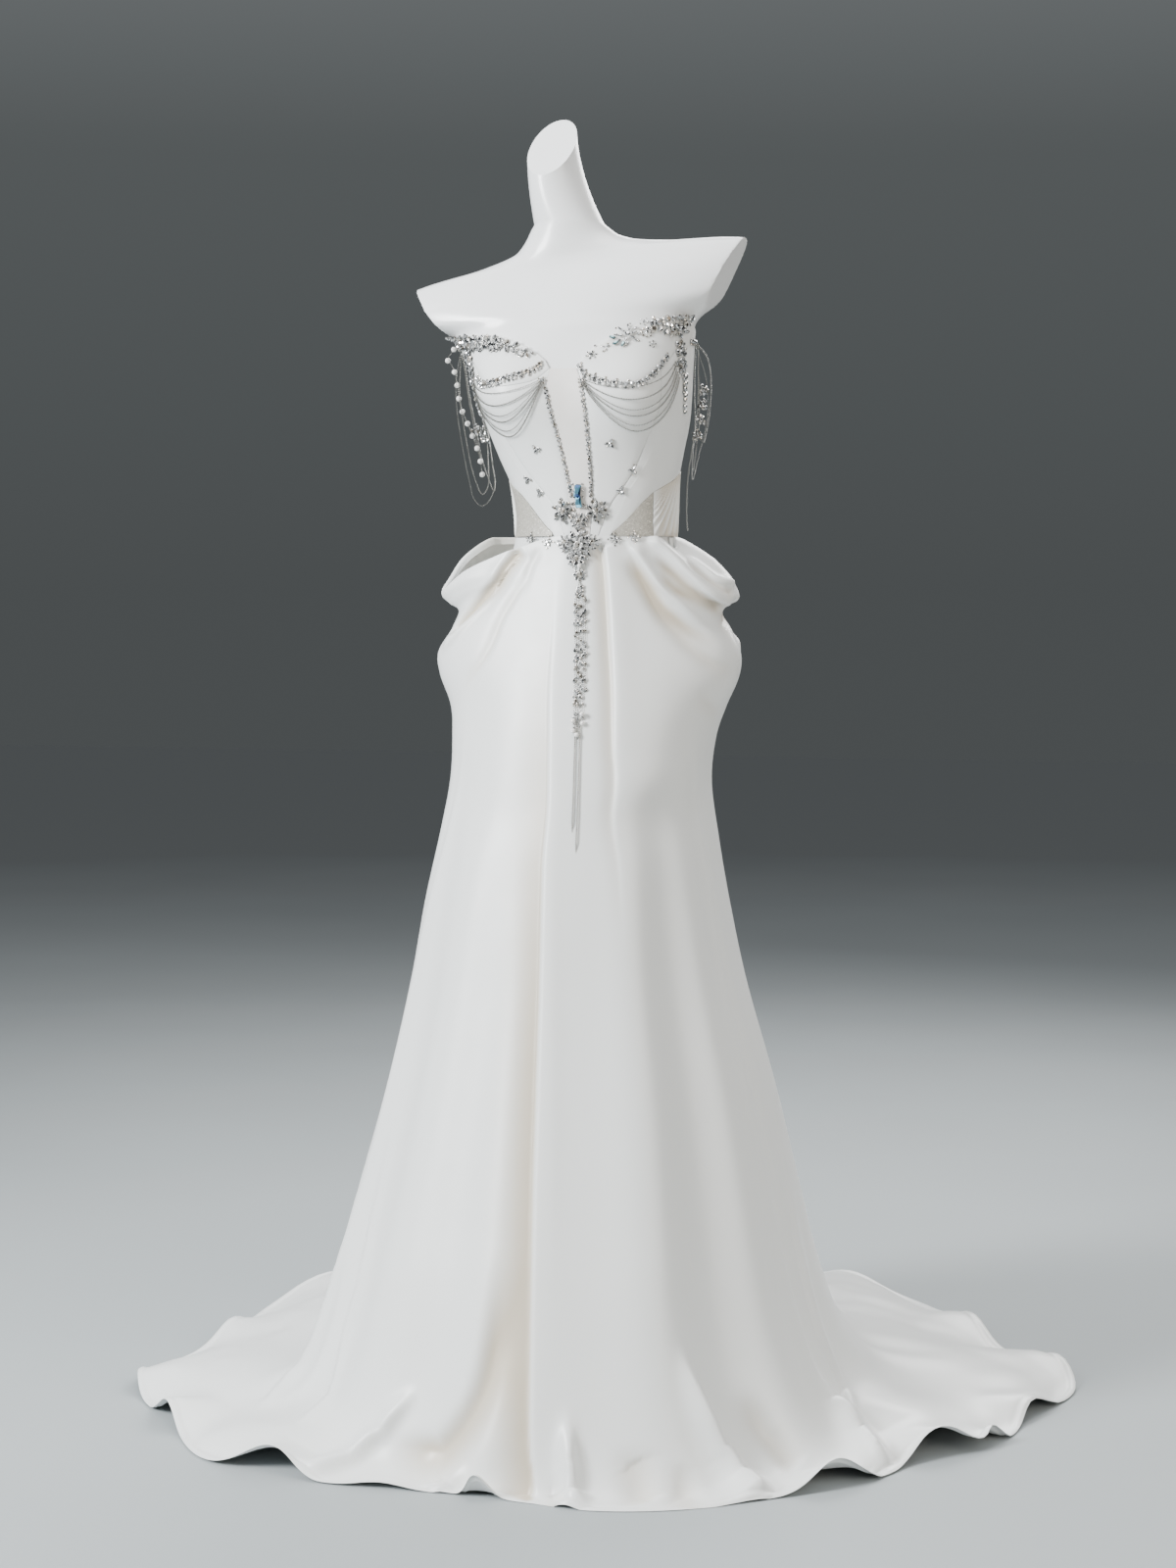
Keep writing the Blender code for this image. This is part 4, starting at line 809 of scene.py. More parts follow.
def pressHem(points):
    steps = np.linalg.norm(np.diff(points, axis=0), axis=-1)
    fromEdge = np.concatenate((np.cumsum(steps[::-1], 0)[::-1], np.zeros((1, points.shape[1]))))
    relief = sum(height * bell(fromEdge, place, width) for height, place, width in hemRelief)
    points += gridNormals(points) * relief[..., None]


def turnRim(points, opened):  # soft turned edge of the hip drape
    towards = unit(points * (1, 1, 0))
    sewn, more = skirt["rimRadius"]
    radius = sewn + more * opened[:, None]
    upward = np.array((0, 0, 1)) * radius
    turned = [points - towards * radius * (1 - math.cos(turn)) + upward * math.sin(turn)
              for turn in np.linspace(math.pi, 0, 7)[:-1]]
    return [turned[0] - upward * reach for reach in (2.4, 1.6, 0.8)] + turned


def turnHem(points):
    outward = unit(points * (1, 1, 0))
    return [points + outward * out + np.array((0, 0, down)) for out, down in skirt["hemTurns"]]


def buildSkirt():
    ends = np.linspace(-180, 180, 2000)
    reach = np.cumsum(1 + 1.5 * bell(ends, 8, 78))  # closer columns at the front
    angles = np.interp(np.linspace(reach[0], reach[-1], skirt["columns"] + 1), reach, ends)
    angles[0], angles[-1] = -180, 180
    ladder = np.concatenate([np.linspace(*span)[:-1] for span in skirt["rows"]] + [[hemEnd]])
    angle, station = np.meshgrid(angles, ladder)
    rim, rimEnd = readTable(skirt["openRim"], angles)[..., 0], skirt["rimEnd"]
    station = np.where(station < rimEnd, rim + station * (rimEnd - rim) / rimEnd, station)
    points = settleFoot(skirtPoint(angle, station)[:, :-1], station)
    angle, station = angle[:, :-1], station[:, :-1]
    paintedShade = np.zeros(station.shape)
    normals = gridNormals(points)
    for crease in creases:
        pressCrease(points, normals, paintedShade, crease)
    wrinkle(points, station)
    raiseFlutes(points, station)
    pressHem(points)
    # painted shade on the inside of the open hip drape, near its top
    drapeInsideShade = smoothStep(95, 112, -angle) * (1 - smoothStep(140, 165, -angle))
    paintedShade += 0.5 * drapeInsideShade * (1 - smoothStep(0.5, 3.5, station))
    points[..., 2] = np.maximum(points[..., 2], skirt["floorGap"])
    above, under = turnRim(points[0], slingShare(angles[:-1])), turnHem(points[-1])
    grid = np.concatenate((above, points, under))
    paintedShade = np.concatenate((np.repeat(paintedShade[:1], len(above), 0), paintedShade,
                             np.repeat(paintedShade[-1:], len(under), 0)))
    rows, columns = grid.shape[:2]
    index = np.arange(rows * columns).reshape(rows, columns)
    index = np.concatenate((index, index[:, :1]), 1)
    faces = np.stack((index[1:, :-1], index[1:, 1:], index[:-1, 1:], index[:-1, :-1]), -1).reshape(-1, 4)
    nodes = ["skirt_front", "skirt_side_left", "skirt_side_right", "skirt_back_left", "skirt_back_right"]
    piece = newPiece("skirt", grid, faces, "satin", nodes, 60)
    addLayer(piece.data, "paintedShade", "POINT", np.clip(paintedShade, 0, 1))


buildSkirt()
print("skirt done")


# stones, pearls and chains, each unit shape is one across its half width

jewelFinishes = ("stone", "champagne", "leafStone", "blueStone", "pearl", "silver")


def outlineOf(kind):
    turn = np.arange(8) * math.pi / 4 + math.pi / 8
    across, up = np.cos(turn), np.sin(turn)
    if kind == "oval":
        up = up * 0.72
    elif kind == "leaf":
        across, up = np.cos(turn - math.pi / 8), 0.50 * np.sin(turn - math.pi / 8)
    elif kind == "drop":
        across, up = np.cos(turn - math.pi / 8), 0.62 * np.sin(turn - math.pi / 8) * (1 - 0.35 * across)
    elif kind == "bar":
        across = np.array((1, 0.86, -0.86, -1, -1, -0.86, 0.86, 1))
        up = np.array((0.40, 0.54, 0.54, 0.40, -0.40, -0.54, -0.54, -0.40))
    return np.stack((across, up), -1)


def cutStone(kind):  # cup below, cut stone above, both closed
    edge = outlineOf(kind)
    points, faces, finish = [], [], []

    def ring(scale, level):
        points.extend((*(edge[i] * scale), level) for i in range(8))
        return list(range(len(points) - 8, len(points)))

    def skin(low, high, which):
        for i in range(8):
            after = (i + 1) % 8
            lid([low[i], low[after], high[after], high[i]], which)

    def lid(ring, which):
        faces.append(ring)
        finish.append(which)

    foot, lip, rim = ring(0.80, 0.0), ring(1.10, 0.30), ring(0.95, 0.34)
    lid(foot[::-1], "silver")
    skin(foot, lip, "silver")
    skin(lip, rim, "silver")
    lid(rim, "silver")
    base, girdle, table = ring(0.85, 0.30), ring(1.0, 0.42), ring(0.52, 0.78)
    lid(base[::-1], "gem")
    skin(base, girdle, "gem")
    for i in range(8):
        after = (i + 1) % 8
        lid([girdle[i], girdle[after], table[i]], "gem")
        lid([girdle[after], table[after], table[i]], "gem")
    lid(table, "gem")
    return np.array(points), faces, finish, False


def ball(rounds):
    shape = bmesh.new()
    bmesh.ops.create_icosphere(shape, subdivisions=rounds, radius=1)
    points = np.array([v.co[:] for v in shape.verts])
    faces = [[v.index for v in f.verts] for f in shape.faces]
    shape.free()
    return points + (0, 0, 0.8), faces, ["gem"] * len(faces), rounds > 1


shapes = {kind: cutStone(kind) for kind in ("round", "oval", "leaf", "drop", "bar")}
shapes["pearl"] = ball(2)
shapes["bead"] = ball(1)


def newSetting():
    return {"points": [], "faces": [], "finish": [], "fleckAndGlint": [], "smooth": [], "count": 0}


def addShape(setting, kind, place, normal, size, turn=0.0, gem="stone"):
    points, faces, finish, smooth = shapes[kind]
    normal = unit(np.array(normal, float))
    up = np.array((0, 0, 1.0)) - normal[2] * normal
    up = unit(up) if np.linalg.norm(up) > 0.05 else np.array((0, 1.0, 0))
    across = np.cross(up, normal)
    swung = math.cos(turn) * across + math.sin(turn) * up
    beside = math.cos(turn) * up - math.sin(turn) * across
    spots = place + size * (points[:, :1] * swung + points[:, 1:2] * beside + points[:, 2:] * normal)
    setting["points"].append(spots)
    for face, which in zip(faces, finish):
        setting["faces"].append([i + setting["count"] for i in face])
        setting["finish"].append(jewelFinishes.index("silver" if which == "silver" else gem))
        # each facet gets a random painted reflection brightness
        setting["fleckAndGlint"].append(dice.random())
        setting["smooth"].append(smooth)
    setting["count"] += len(points)


def glintTone(value):  # painted reflections: some facets painted dark, most light, a few as bright flashes
    return 0.04 + 0.3 * value if value < 0.42 else 0.45 + 0.55 * value


def finishJewels(name, setting, node):
    mesh = bpy.data.meshes.new(name)
    mesh.from_pydata(np.concatenate(setting["points"]).tolist(), [], setting["faces"])
    for finish in jewelFinishes:
        mesh.materials.append(finishes[finish])
    mesh.polygons.foreach_set("material_index", setting["finish"])
    mesh.polygons.foreach_set("use_smooth", setting["smooth"])
    addLayer(mesh, "fleckAndGlint", "FACE", [glintTone(value) for value in setting["fleckAndGlint"]])
    mesh.update()
    showPiece(name, mesh, [node])
    print("jewels", name, len(mesh.polygons), "facets")


def frontPoint(angle, height, lift):  # above the bodice and, lower down, above the skirt
    extra = 0.12 * max(waistSeam + 0.006 - height, 0)
    return onForm(angle, height, lift + extra), formNormal(angle, height)


def setStone(setting, angle, height, size, kind="round", turn=0.0, gem="stone", lift=0.0004):
    place, normal = frontPoint(angle, height, onPanel + lift)
    addShape(setting, kind, place, normal, size, turn, gem)


def scatterStones(setting, line, widths, tries, sizes):  # big stones first, none on top of another
    steps = 60
    centre = sampleLine(line, steps) * (degree, 1)
    run = unit(np.gradient(centre, axis=0))
    width = np.interp(np.linspace(0, 1, steps + 1), np.linspace(0, 1, len(widths)), widths)
    placed = []
    for attempt in range(tries):
        row = dice.integers(0, steps + 1)
        spot = centre[row] + np.array((-run[row, 1], run[row, 0])) * dice.uniform(-1, 1) * width[row]
        size = blend(sizes[1], sizes[0], math.sqrt(attempt / tries))
        look = dice.random(3)
        if any(math.hypot(*(spot - other)) < trims["crowd"] * (size + reach) for other, reach in placed):
            continue
        placed.append((spot, size))
        kind = ("round", "round", "oval", "leaf", "drop")[int(look[0] * 5)]
        gem = "champagne" if look[1] < trims["champagne"] else "stone"
        lift = 0.0004 + 0.0016 * look[0] * (size > 0.0018)
        setStone(setting, spot[0] / degree, spot[1], size, kind, look[2] * 6.3, gem, lift)


def setRosette(setting, angle, height, rings):
    # each ring: how many, how far out, half size, kind of stone, colour, first turn, lift
    for count, reach, size, kind, gem, first, lift in rings:
        for number in range(count):
            turn = first + 2 * math.pi * number / count
            setStone(setting, angle + math.degrees(reach * math.cos(turn) / waistRadius),
                     height + reach * math.sin(turn), size, kind, turn, gem, lift)


def runChain(setting, path, pitch, size, kind="bead", gem="silver", outward=None):
    path = np.asarray(path)
    reach = np.concatenate(([0], np.cumsum(np.linalg.norm(np.diff(path, axis=0), axis=1))))
    count = max(int(reach[-1] / pitch), 2)
    places = np.linspace(0, reach[-1], count)
    spots = np.stack([np.interp(places, reach, path[:, axis]) for axis in range(3)], -1)
    for spot in spots:
        facing = outward if outward is not None else spot * (1, 1, 0)
        addShape(setting, kind, spot - 0.8 * size * unit(np.array(facing, float)), facing, size, 0.4, gem)


degree, waistRadius = 0.0022, 0.105  # metres for each degree round the bust, and radius at the waist

trims = {
    "crowd": 0.80, "champagne": 0.16,  # how close stones may stand, share of the champagne ones
    "necklineSizes": (0.0020, 0.0050), "sideSizes": (0.0018, 0.0044),
    # line of (angle, height), half widths along it, how many stones are tried
    "neckline": {
        "left": (((-78, 1.462), (-64, 1.4575), (-53, 1.4505), (-38.5, 1.4445), (-29, 1.4365), (-21, 1.4285),
                  (-16, 1.4215)), (0.013, 0.013, 0.013, 0.011, 0.008, 0.0045), 1100),
        "right": (((44, 1.4585), (49, 1.4570), (56, 1.4575), (64, 1.4585), (74, 1.4590)),
                  (0.006, 0.009, 0.012, 0.013, 0.010), 620),
    },
    "side": {
        "left": (((-64, 1.438), (-63, 1.412), (-60, 1.392), (-64, 1.374), (-70, 1.350)),
                 (0.013, 0.012, 0.010, 0.008, 0.006), 700),
        "right": (((67, 1.438), (69, 1.424), (70.5, 1.408), (73, 1.385), (75, 1.352)),
                  (0.010, 0.009, 0.006, 0.004, 0.0025), 360),
    },
    "underCup": {
        "left": ((-50, 1.396), (-44, 1.3880), (-34.5, 1.3885), (-28, 1.3930), (-21, 1.3975), (-15, 1.4035),
                 (-11.5, 1.4095)),
        "right": ((8.5, 1.4065), (10.5, 1.3980), (15, 1.3925), (21, 1.3865), (26.5, 1.3835), (31.5, 1.3825),
                  (37.5, 1.3850), (43, 1.3945), (49.5, 1.4080), (55, 1.4200)),
    },
    "plunge": {
        "left": ((-9.8, 1.379), (-9.5, 1.342), (-8.5, 1.318), (-7.6, 1.291), (-7.2, 1.2625), (-6.2, 1.240)),
        "right": ((9.0, 1.381), (9.2, 1.3525), (9.0, 1.321), (8.8, 1.288), (8.2, 1.261), (7.4, 1.240)),
    },
    "sprigs": {"left": ((-24, 1.303), (-40, 1.264), (-31, 1.246)),
               "right": ((22, 1.309), (37, 1.2745), (28.5, 1.2475))},
    "waist": {"left": ((-24, 1.1800), (-41.5, 1.1850)), "right": ((23.5, 1.1830), (38, 1.1860))},
    "swagEnds": {"left": ((-11.0, 1.3890), (-64.0, 1.4020)), "right": ((9.5, 1.3880), (64.0, 1.4120))},
    "swagDepths": (0.022, 0.034, 0.044, 0.049, 0.058, 0.063),
    "swagEnd": ((1, 0, 0.0024, "round", "stone", 0, 0.0016),
                (5, 0.0036, 0.0013, "round", "champagne", 0, 0.0008)),
    "waistMotif": ((1, 0.0, 0.0026, "oval", "stone", 0, 0.0016),
                   (5, 0.0046, 0.0023, "drop", "stone", 0.2, 0.0008),
                   (4, 0.0082, 0.0013, "round", "champagne", 0.0, 0.0004)),
    # right cup only: the flower, its blue leaves, then the smaller rosettes
    "flower": (32.5, 1.4455, ((1, 0.0, 0.0036, "round", "stone", 0, 0.0030),
                              (6, 0.0066, 0.0034, "leaf", "stone", 0.3, 0.0016),
                              (8, 0.0110, 0.0024, "drop", "stone", 0.0, 0.0008),
                              (6, 0.0135, 0.0013, "round", "champagne", 0.4, 0.0004))),
    "blueLeaves": ((25.0, 1.4415, 2.9), (26.5, 1.4340, 3.6), (30.0, 1.4325, 4.3)),
    "rosettes": (
        (14.5, 1.4205, ((1, 0, 0.0026, "round", "stone", 0, 0.0014),
                        (6, 0.0044, 0.0019, "drop", "stone", 0.2, 0.0006))),
        (21.5, 1.4295, ((3, 0.0028, 0.0024, "leaf", "stone", 0.5, 0.0008),
                        (2, 0.0052, 0.0014, "round", "champagne", 1.2, 0.0004))),
        (16.5, 1.4320, ((1, 0, 0.0016, "round", "stone", 0, 0.0006),)),
        (40.5, 1.4610, ((1, 0, 0.0024, "oval", "stone", 1.5, 0.0006),
                        (5, 0.0040, 0.0010, "round", "silver", 0, 0.0002))),
        (43.0, 1.4480, ((1, 0, 0.0030, "oval", "stone", 1.3, 0.0014),
                        (8, 0.0054, 0.0017, "round", "champagne", 0, 0.0004))),
        (46.0, 1.4340, ((1, 0, 0.0020, "round", "stone", 0, 0.0008),
                        (5, 0.0036, 0.0013, "round", "stone", 0, 0.0004))),
    ),
}


def setNeckline(side):
    jewels = newSetting()
    scatterStones(jewels, *trims["neckline"][side], trims["necklineSizes"])
    if side == "right":
        setRosette(jewels, *trims["flower"])
        for angle, height, turn in trims["blueLeaves"]:
            setStone(jewels, angle, height, 0.0046, "leaf", turn, "leafStone", 0.0014)
        for rosette in trims["rosettes"]:
            setRosette(jewels, *rosette)
    finishJewels("necklineStones" + side.capitalize(), jewels, "neckline_band_" + side)


def setSideBand(side):
    jewels = newSetting()
    scatterStones(jewels, *trims["side"][side], trims["sideSizes"])
    finishJewels("sideStones" + side.capitalize(), jewels, "side_band_" + side)


def setUnderCup(side):
    jewels = newSetting()
    for number, (angle, height) in enumerate(sampleLine(trims["underCup"][side], 22)):
        big = number % 2 == 0
        kind, gem = ("pearl", "pearl") if number % 3 == 0 else ("round", "stone")
        setStone(jewels, angle, height, 0.0034 if big else 0.0026, "round",
                 dice.random(), "stone" if dice.random() > 0.2 else "champagne", 0.0010)
        setStone(jewels, angle + dice.uniform(-0.5, 0.5), height - 0.0046, 0.0019, kind, 0.2, gem)
        if big:
            setStone(jewels, angle + 1.0, height + 0.0040, 0.0015, "round", 0.3, "champagne", 0.0002)
    finishJewels("underCupStones" + side.capitalize(), jewels, "undercup_band_" + side)


def setPlunge(side):
    jewels = newSetting()
    for number, (angle, height) in enumerate(sampleLine(trims["plunge"][side], 46)):
        weave = (number % 2 - 0.5) * 0.8
        kind, size = (("oval", 0.0026), ("round", 0.0017), ("round", 0.0021))[number % 3]
        gem = "champagne" if number % 5 == 0 else "stone"
        setStone(jewels, angle + weave, height, size, kind, 1.4 + weave, gem)
    finishJewels("plungeStones" + side.capitalize(), jewels, "plunge_band_" + side)


def setSprigs(side, sign):
    for number, (angle, height) in enumerate(trims["sprigs"][side], 1):
        jewels = newSetting()
        reach, lean = (0.0068, 0.6) if number == 2 else (0.0050, 0)  # the second one is slim
        setRosette(jewels, angle, height, ((3, 0.0036, 0.0033, "drop", "stone", 1.6 - sign * 0.5, 0.0006),
                                           (1, 0.0, 0.0014, "round", "stone", 0, 0.0012),
                                           (2, reach, 0.0012, "round", "champagne", 0.9 * sign + lean,
                                            0.0002)))
        finishJewels("sprig%s%d" % (side.capitalize(), number), jewels, "sprig_%s_%d" % (side, number))


def setWaistMotifs(side):
    for number, (angle, height) in enumerate(trims["waist"][side], 1):
        jewels = newSetting()
        setRosette(jewels, angle, height, trims["waistMotif"])
        finishJewels("waistMotif%s%d" % (side.capitalize(), number), jewels,
                     "waist_motif_%s_%d" % (side, number))


def setSwags(side, sign):
    jewels = newSetting()
    inner, outer = trims["swagEnds"][side]
    share = np.linspace(0, 1, 60)
    for number, depth in enumerate(trims["swagDepths"]):
        angle = blend(inner[0], outer[0] + sign * (number - 3) * 0.8, share)
        height = blend(inner[1] + (2 - number) * 0.0012, outer[1] - number * 0.0035, share)
        height = height - depth * 4 * share * (1 - share)
        lift = 0.0012 + 0.0010 * np.sin(math.pi * share) + 0.0002 * number
        runChain(jewels, onForm(angle, height, onPanel + lift), 0.0021, 0.0011 if number % 2 else 0.0009)
    for angle, height in (inner, outer):
        setRosette(jewels, angle, height, trims["swagEnd"])
    finishJewels("cupSwags" + side.capitalize(), jewels, "cup_swags_" + side)


def buildTrims():
    for side, sign in (("left", -1), ("right", 1)):
        setNeckline(side)
        setSideBand(side)
        setUnderCup(side)
        setPlunge(side)
        setSprigs(side, sign)
        setWaistMotifs(side)
        setSwags(side, sign)


brooch = {
    "middle": -1.0,
    # rings of each kind of rosette, in the order of setRosette
    "wing": ((1, 0.0, 0.0040, "oval", "champagne", 1.2, 0.0040),
             (6, 0.0080, 0.0052, "leaf", "stone", 0.4, 0.0026),
             (7, 0.0125, 0.0024, "round", "champagne", 0.1, 0.0018),
             (6, 0.0158, 0.0027, "drop", "stone", 0.7, 0.0010)),
    "heart": ((1, 0.0, 0.0040, "oval", "champagne", 1.57, 0.0052),
              (7, 0.0072, 0.0036, "drop", "stone", 0.2, 0.0038),
              (10, 0.0105, 0.0017, "round", "stone", 0.0, 0.0026)),
    "crown": ((1, 0.0, 0.0046, "oval", "champagne", 1.57, 0.0054),
              (8, 0.0088, 0.0046, "leaf", "stone", 0.15, 0.0040),
              (9, 0.0145, 0.0036, "round", "stone", 0.0, 0.0028),
              (13, 0.0195, 0.0027, "drop", "stone", 0.2, 0.0014)),
    "crownSide": ((1, 0.0, 0.0034, "oval", "champagne", 0.5, 0.0046),
                  (7, 0.0068, 0.0032, "leaf", "stone", 0.3, 0.0034)),
    "lobe": ((1, 0.0, 0.0044, "oval", "champagne", 1.57, 0.0052),
             (7, 0.0075, 0.0034, "round", "stone", 0.2, 0.0036),
             (10, 0.0112, 0.0021, "drop", "stone", 0.0, 0.0016)),
    # angle, height, kind
    "rosettes": ((-12.5, 1.2210, "wing"), (10.5, 1.2210, "wing"), (-1.0, 1.2070, "heart"),
                 (-1.0, 1.1755, "crown"), (-0.8, 1.1570, "lobe")),
    "sideReach": 9.5, "sideHeight": 1.1795,
    "tips": ((0.0205, 1.1830), (0.0262, 1.1770), (0.0210, 1.1710)),  # distance from the middle, height
    "blueBars": ((1.2475, 0.0080, 1.45), (1.2330, 0.0074, 1.70)),  # height, half size, turn
    "barDots": (1.2560, 1.2475, 1.2390, 1.2300), "dotReach": 3.2,
}


def buildBrooch():
    jewels = newSetting()
    middle = brooch["middle"]
    for angle, height, kind in brooch["rosettes"]:
        setRosette(jewels, angle, height, brooch[kind])
    for sign, turn in ((-1, 3.14), (1, 0.0)):
        setRosette(jewels, middle + sign * brooch["sideReach"], brooch["sideHeight"], brooch["crownSide"])
        for reach, height in brooch["tips"]:
            angle = middle + sign * math.degrees(reach / waistRadius)
            setStone(jewels, angle, height, 0.0024, "leaf", turn, "stone", 0.0016)
    for height, size, turn in brooch["blueBars"]:
        setStone(jewels, middle, height, size, "bar", turn, "blueStone", 0.0022)
    for height in brooch["barDots"]:
        for sign in (-1, 1):
            setStone(jewels, middle + sign * brooch["dotReach"], height, 0.0014, "round", 0, "stone", 0.0006)
    finishJewels("brooch", jewels, "brooch")


tassel = {
    "head": (0.0130, 1.136), "footAcross": 0.0250, "footHeight": 0.772, "gap": 0.0008,
    # where each strand hangs beside the middle, how far it reaches, where its pearls are
    "strands": ((-0.0072, 0.935, (0.948, 0.935)), (-0.0048, 0.800, ()), (-0.0022, 0.925, (0.930,)),
                (0.0012, 0.772, ()), (0.0044, 0.945, (0.957, 0.945)), (0.0070, 0.985, ())),
    "beadedTo": 0.945, "stonesTo": 0.95,  # below these heights the strands are bare chain
    "stoneStep": 0.0150, "stoneJitter": 0.004, "stoneSizes": (0.0022, 0.0034),
    "facing": (0, -1.0, 0.12),
    "rosetteReach": 0.0068,
}


def frontOfSkirt(across, height):  # outermost y of the skirt's front, where the strands lie
    ladder = np.linspace(0, 15, 160)
    start = skirtPoint(np.zeros(160), ladder)[:, 0]
    slope = (skirtPoint(np.full(160, 5.0), ladder)[:, 0] - start) / 5
    points = skirtPoint((across - start) / slope, ladder)
    return np.interp(-np.asarray(height), -points[:, 2], points[:, 1])


def strandPath(offset, foot):
    headAcross, headHeight = tassel["head"]
    heights = np.linspace(headHeight, foot, 90)
    share = (headHeight - heights) / (headHeight - tassel["footHeight"])
    across = blend(headAcross, tassel["footAcross"], 1 - (1 - share) ** 2.5)
    across = across + offset * smoothStep(0, 0.10, share)
    depth = np.array([frontOfSkirt(a, h) for a, h in zip(across[::6], heights[::6])])
    depth = np.interp(-heights, -heights[::6], depth)
    return np.stack((across, depth - tassel["gap"] - 0.0012, heights), -1)


def buildTassel():
    jewels = newSetting()
    headAcross, headHeight = tassel["head"]
    outward, step = np.array(tassel["facing"]), tassel["stoneStep"]
    for order, (offset, foot, pearls) in enumerate(tassel["strands"]):
        path = strandPath(offset, foot)

        def spotAt(level):
            return np.array([np.interp(-level, -path[:, 2], path[:, axis]) for axis in range(3)])

        beaded = path[:, 2] > tassel["beadedTo"]
        runChain(jewels, path[beaded], 0.0024, 0.0007, "round", ("stone", "champagne")[order % 2], outward)
        if (~beaded).sum() > 3:
            runChain(jewels, path[~beaded], 0.0023, 0.0012, "bead", "silver", outward)
        first = headHeight - 0.010 - dice.uniform(0, step)
        for number, level in enumerate(np.arange(first, max(foot, tassel["stonesTo"]), -step)):
            level = level + dice.uniform(-tassel["stoneJitter"], tassel["stoneJitter"])
            kind, gem = (("round", "stone"), ("oval", "champagne"), ("drop", "stone"))[number % 3]
            addShape(jewels, kind, spotAt(level), outward, dice.uniform(*tassel["stoneSizes"]), 1.57, gem)
        for level in pearls:
            addShape(jewels, "pearl", spotAt(level) - (0, 0.0005, 0), outward, 0.0034, 0, "pearl")
    top = np.array((headAcross, frontOfSkirt(headAcross, headHeight) - 0.0010, headHeight))
    addShape(jewels, "oval", top + (0, -0.0010, 0.001), outward, 0.0052, 1.57, "champagne")
    for turn in np.arange(8) * math.pi / 4:
        beside, up = tassel["rosetteReach"] * math.cos(turn), tassel["rosetteReach"] * math.sin(turn)
        addShape(jewels, "round", top + (beside, -0.0002, 0.0010 + up), outward, 0.0020, turn, "stone")
    addShape(jewels, "pearl", top + (0, -0.0004, 0.0125), outward, 0.0030, 0, "pearl")
    finishJewels("tassel", jewels, "tassel")


armDrapes = {
    # chains of (angle, height, distance off the form)
    "left": {
        "chains": (((82, 1.440, 0.008), (82, 1.410, 0.022), (82, 1.360, 0.037), (81, 1.310, 0.048),
                    (79, 1.262, 0.057), (76, 1.238, 0.047), (80, 1.262, 0.026), (92, 1.320, 0.012),
                    (96, 1.380, 0.009), (97, 1.440, 0.008)),
                   ((84, 1.440, 0.008), (84, 1.390, 0.024), (84, 1.330, 0.038), (83, 1.285, 0.046),
                    (80, 1.258, 0.044), (82, 1.275, 0.030), (92, 1.325, 0.014), (95, 1.380, 0.010),
                    (96, 1.440, 0.008)),
                   ((92, 1.440, 0.008), (92, 1.370, 0.018), (92, 1.300, 0.031), (94, 1.262, 0.034),
                    (100, 1.290, 0.028), (106, 1.370, 0.014), (109, 1.440, 0.008)),
                   ((90, 1.440, 0.008), (90, 1.380, 0.017), (89, 1.330, 0.026), (88, 1.300, 0.030))),
        "pearls": ((80, 1.458, 0.006), (84, 1.446, 0.025), (86, 1.430, 0.024), (87, 1.405, 0.025),
                   (88, 1.375, 0.030), (88, 1.350, 0.029), (88, 1.325, 0.029), (88, 1.308, 0.030),
                   (88, 1.288, 0.036)),
        # angle, height, distance off the form, reach
        "clusters": ((86, 1.3380, 0.016, 0.0085), (84, 1.3250, 0.012, 0.0070)),
    },
    "right": {
        "chains": (((83, 1.440, 0.008), (90, 1.405, 0.020), (98, 1.360, 0.025), (104, 1.310, 0.024),
                    (106, 1.268, 0.022), (108, 1.310, 0.016), (109, 1.380, 0.009), (109, 1.440, 0.008)),
                   ((102, 1.440, 0.008), (103, 1.420, 0.024), (104, 1.380, 0.029), (104, 1.320, 0.027)),
                   ((97, 1.440, 0.008), (98, 1.380, 0.011), (100, 1.300, 0.013), (101, 1.240, 0.016),
                    (101, 1.196, 0.018)),
                   ((96, 1.440, 0.008), (97, 1.380, 0.012), (99, 1.320, 0.017), (101, 1.280, 0.020))),
        "pearls": None,
        "clusters": ((99, 1.3830, 0.017, 0.0070), (99, 1.3650, 0.017, 0.0095), (100, 1.3450, 0.016, 0.0090),
                     (100, 1.3260, 0.016, 0.0060)),
    },
    "rim": (1.441, (80.5, 111.5, 12)),  # row of stones at the top: height, angles from, to, how many
    "clusterStones": 22, "clusterSizes": (0.0018, 0.0038), "clusterSpread": 0.42,
}


def smoothPath(stations, steps, sign):
    table = np.column_stack((np.linspace(0, 1, len(stations)), np.array(stations, float)))
    angle, height, off = readTable(table, np.linspace(0, 1, steps)).T
    return onForm(sign * angle, height, off)


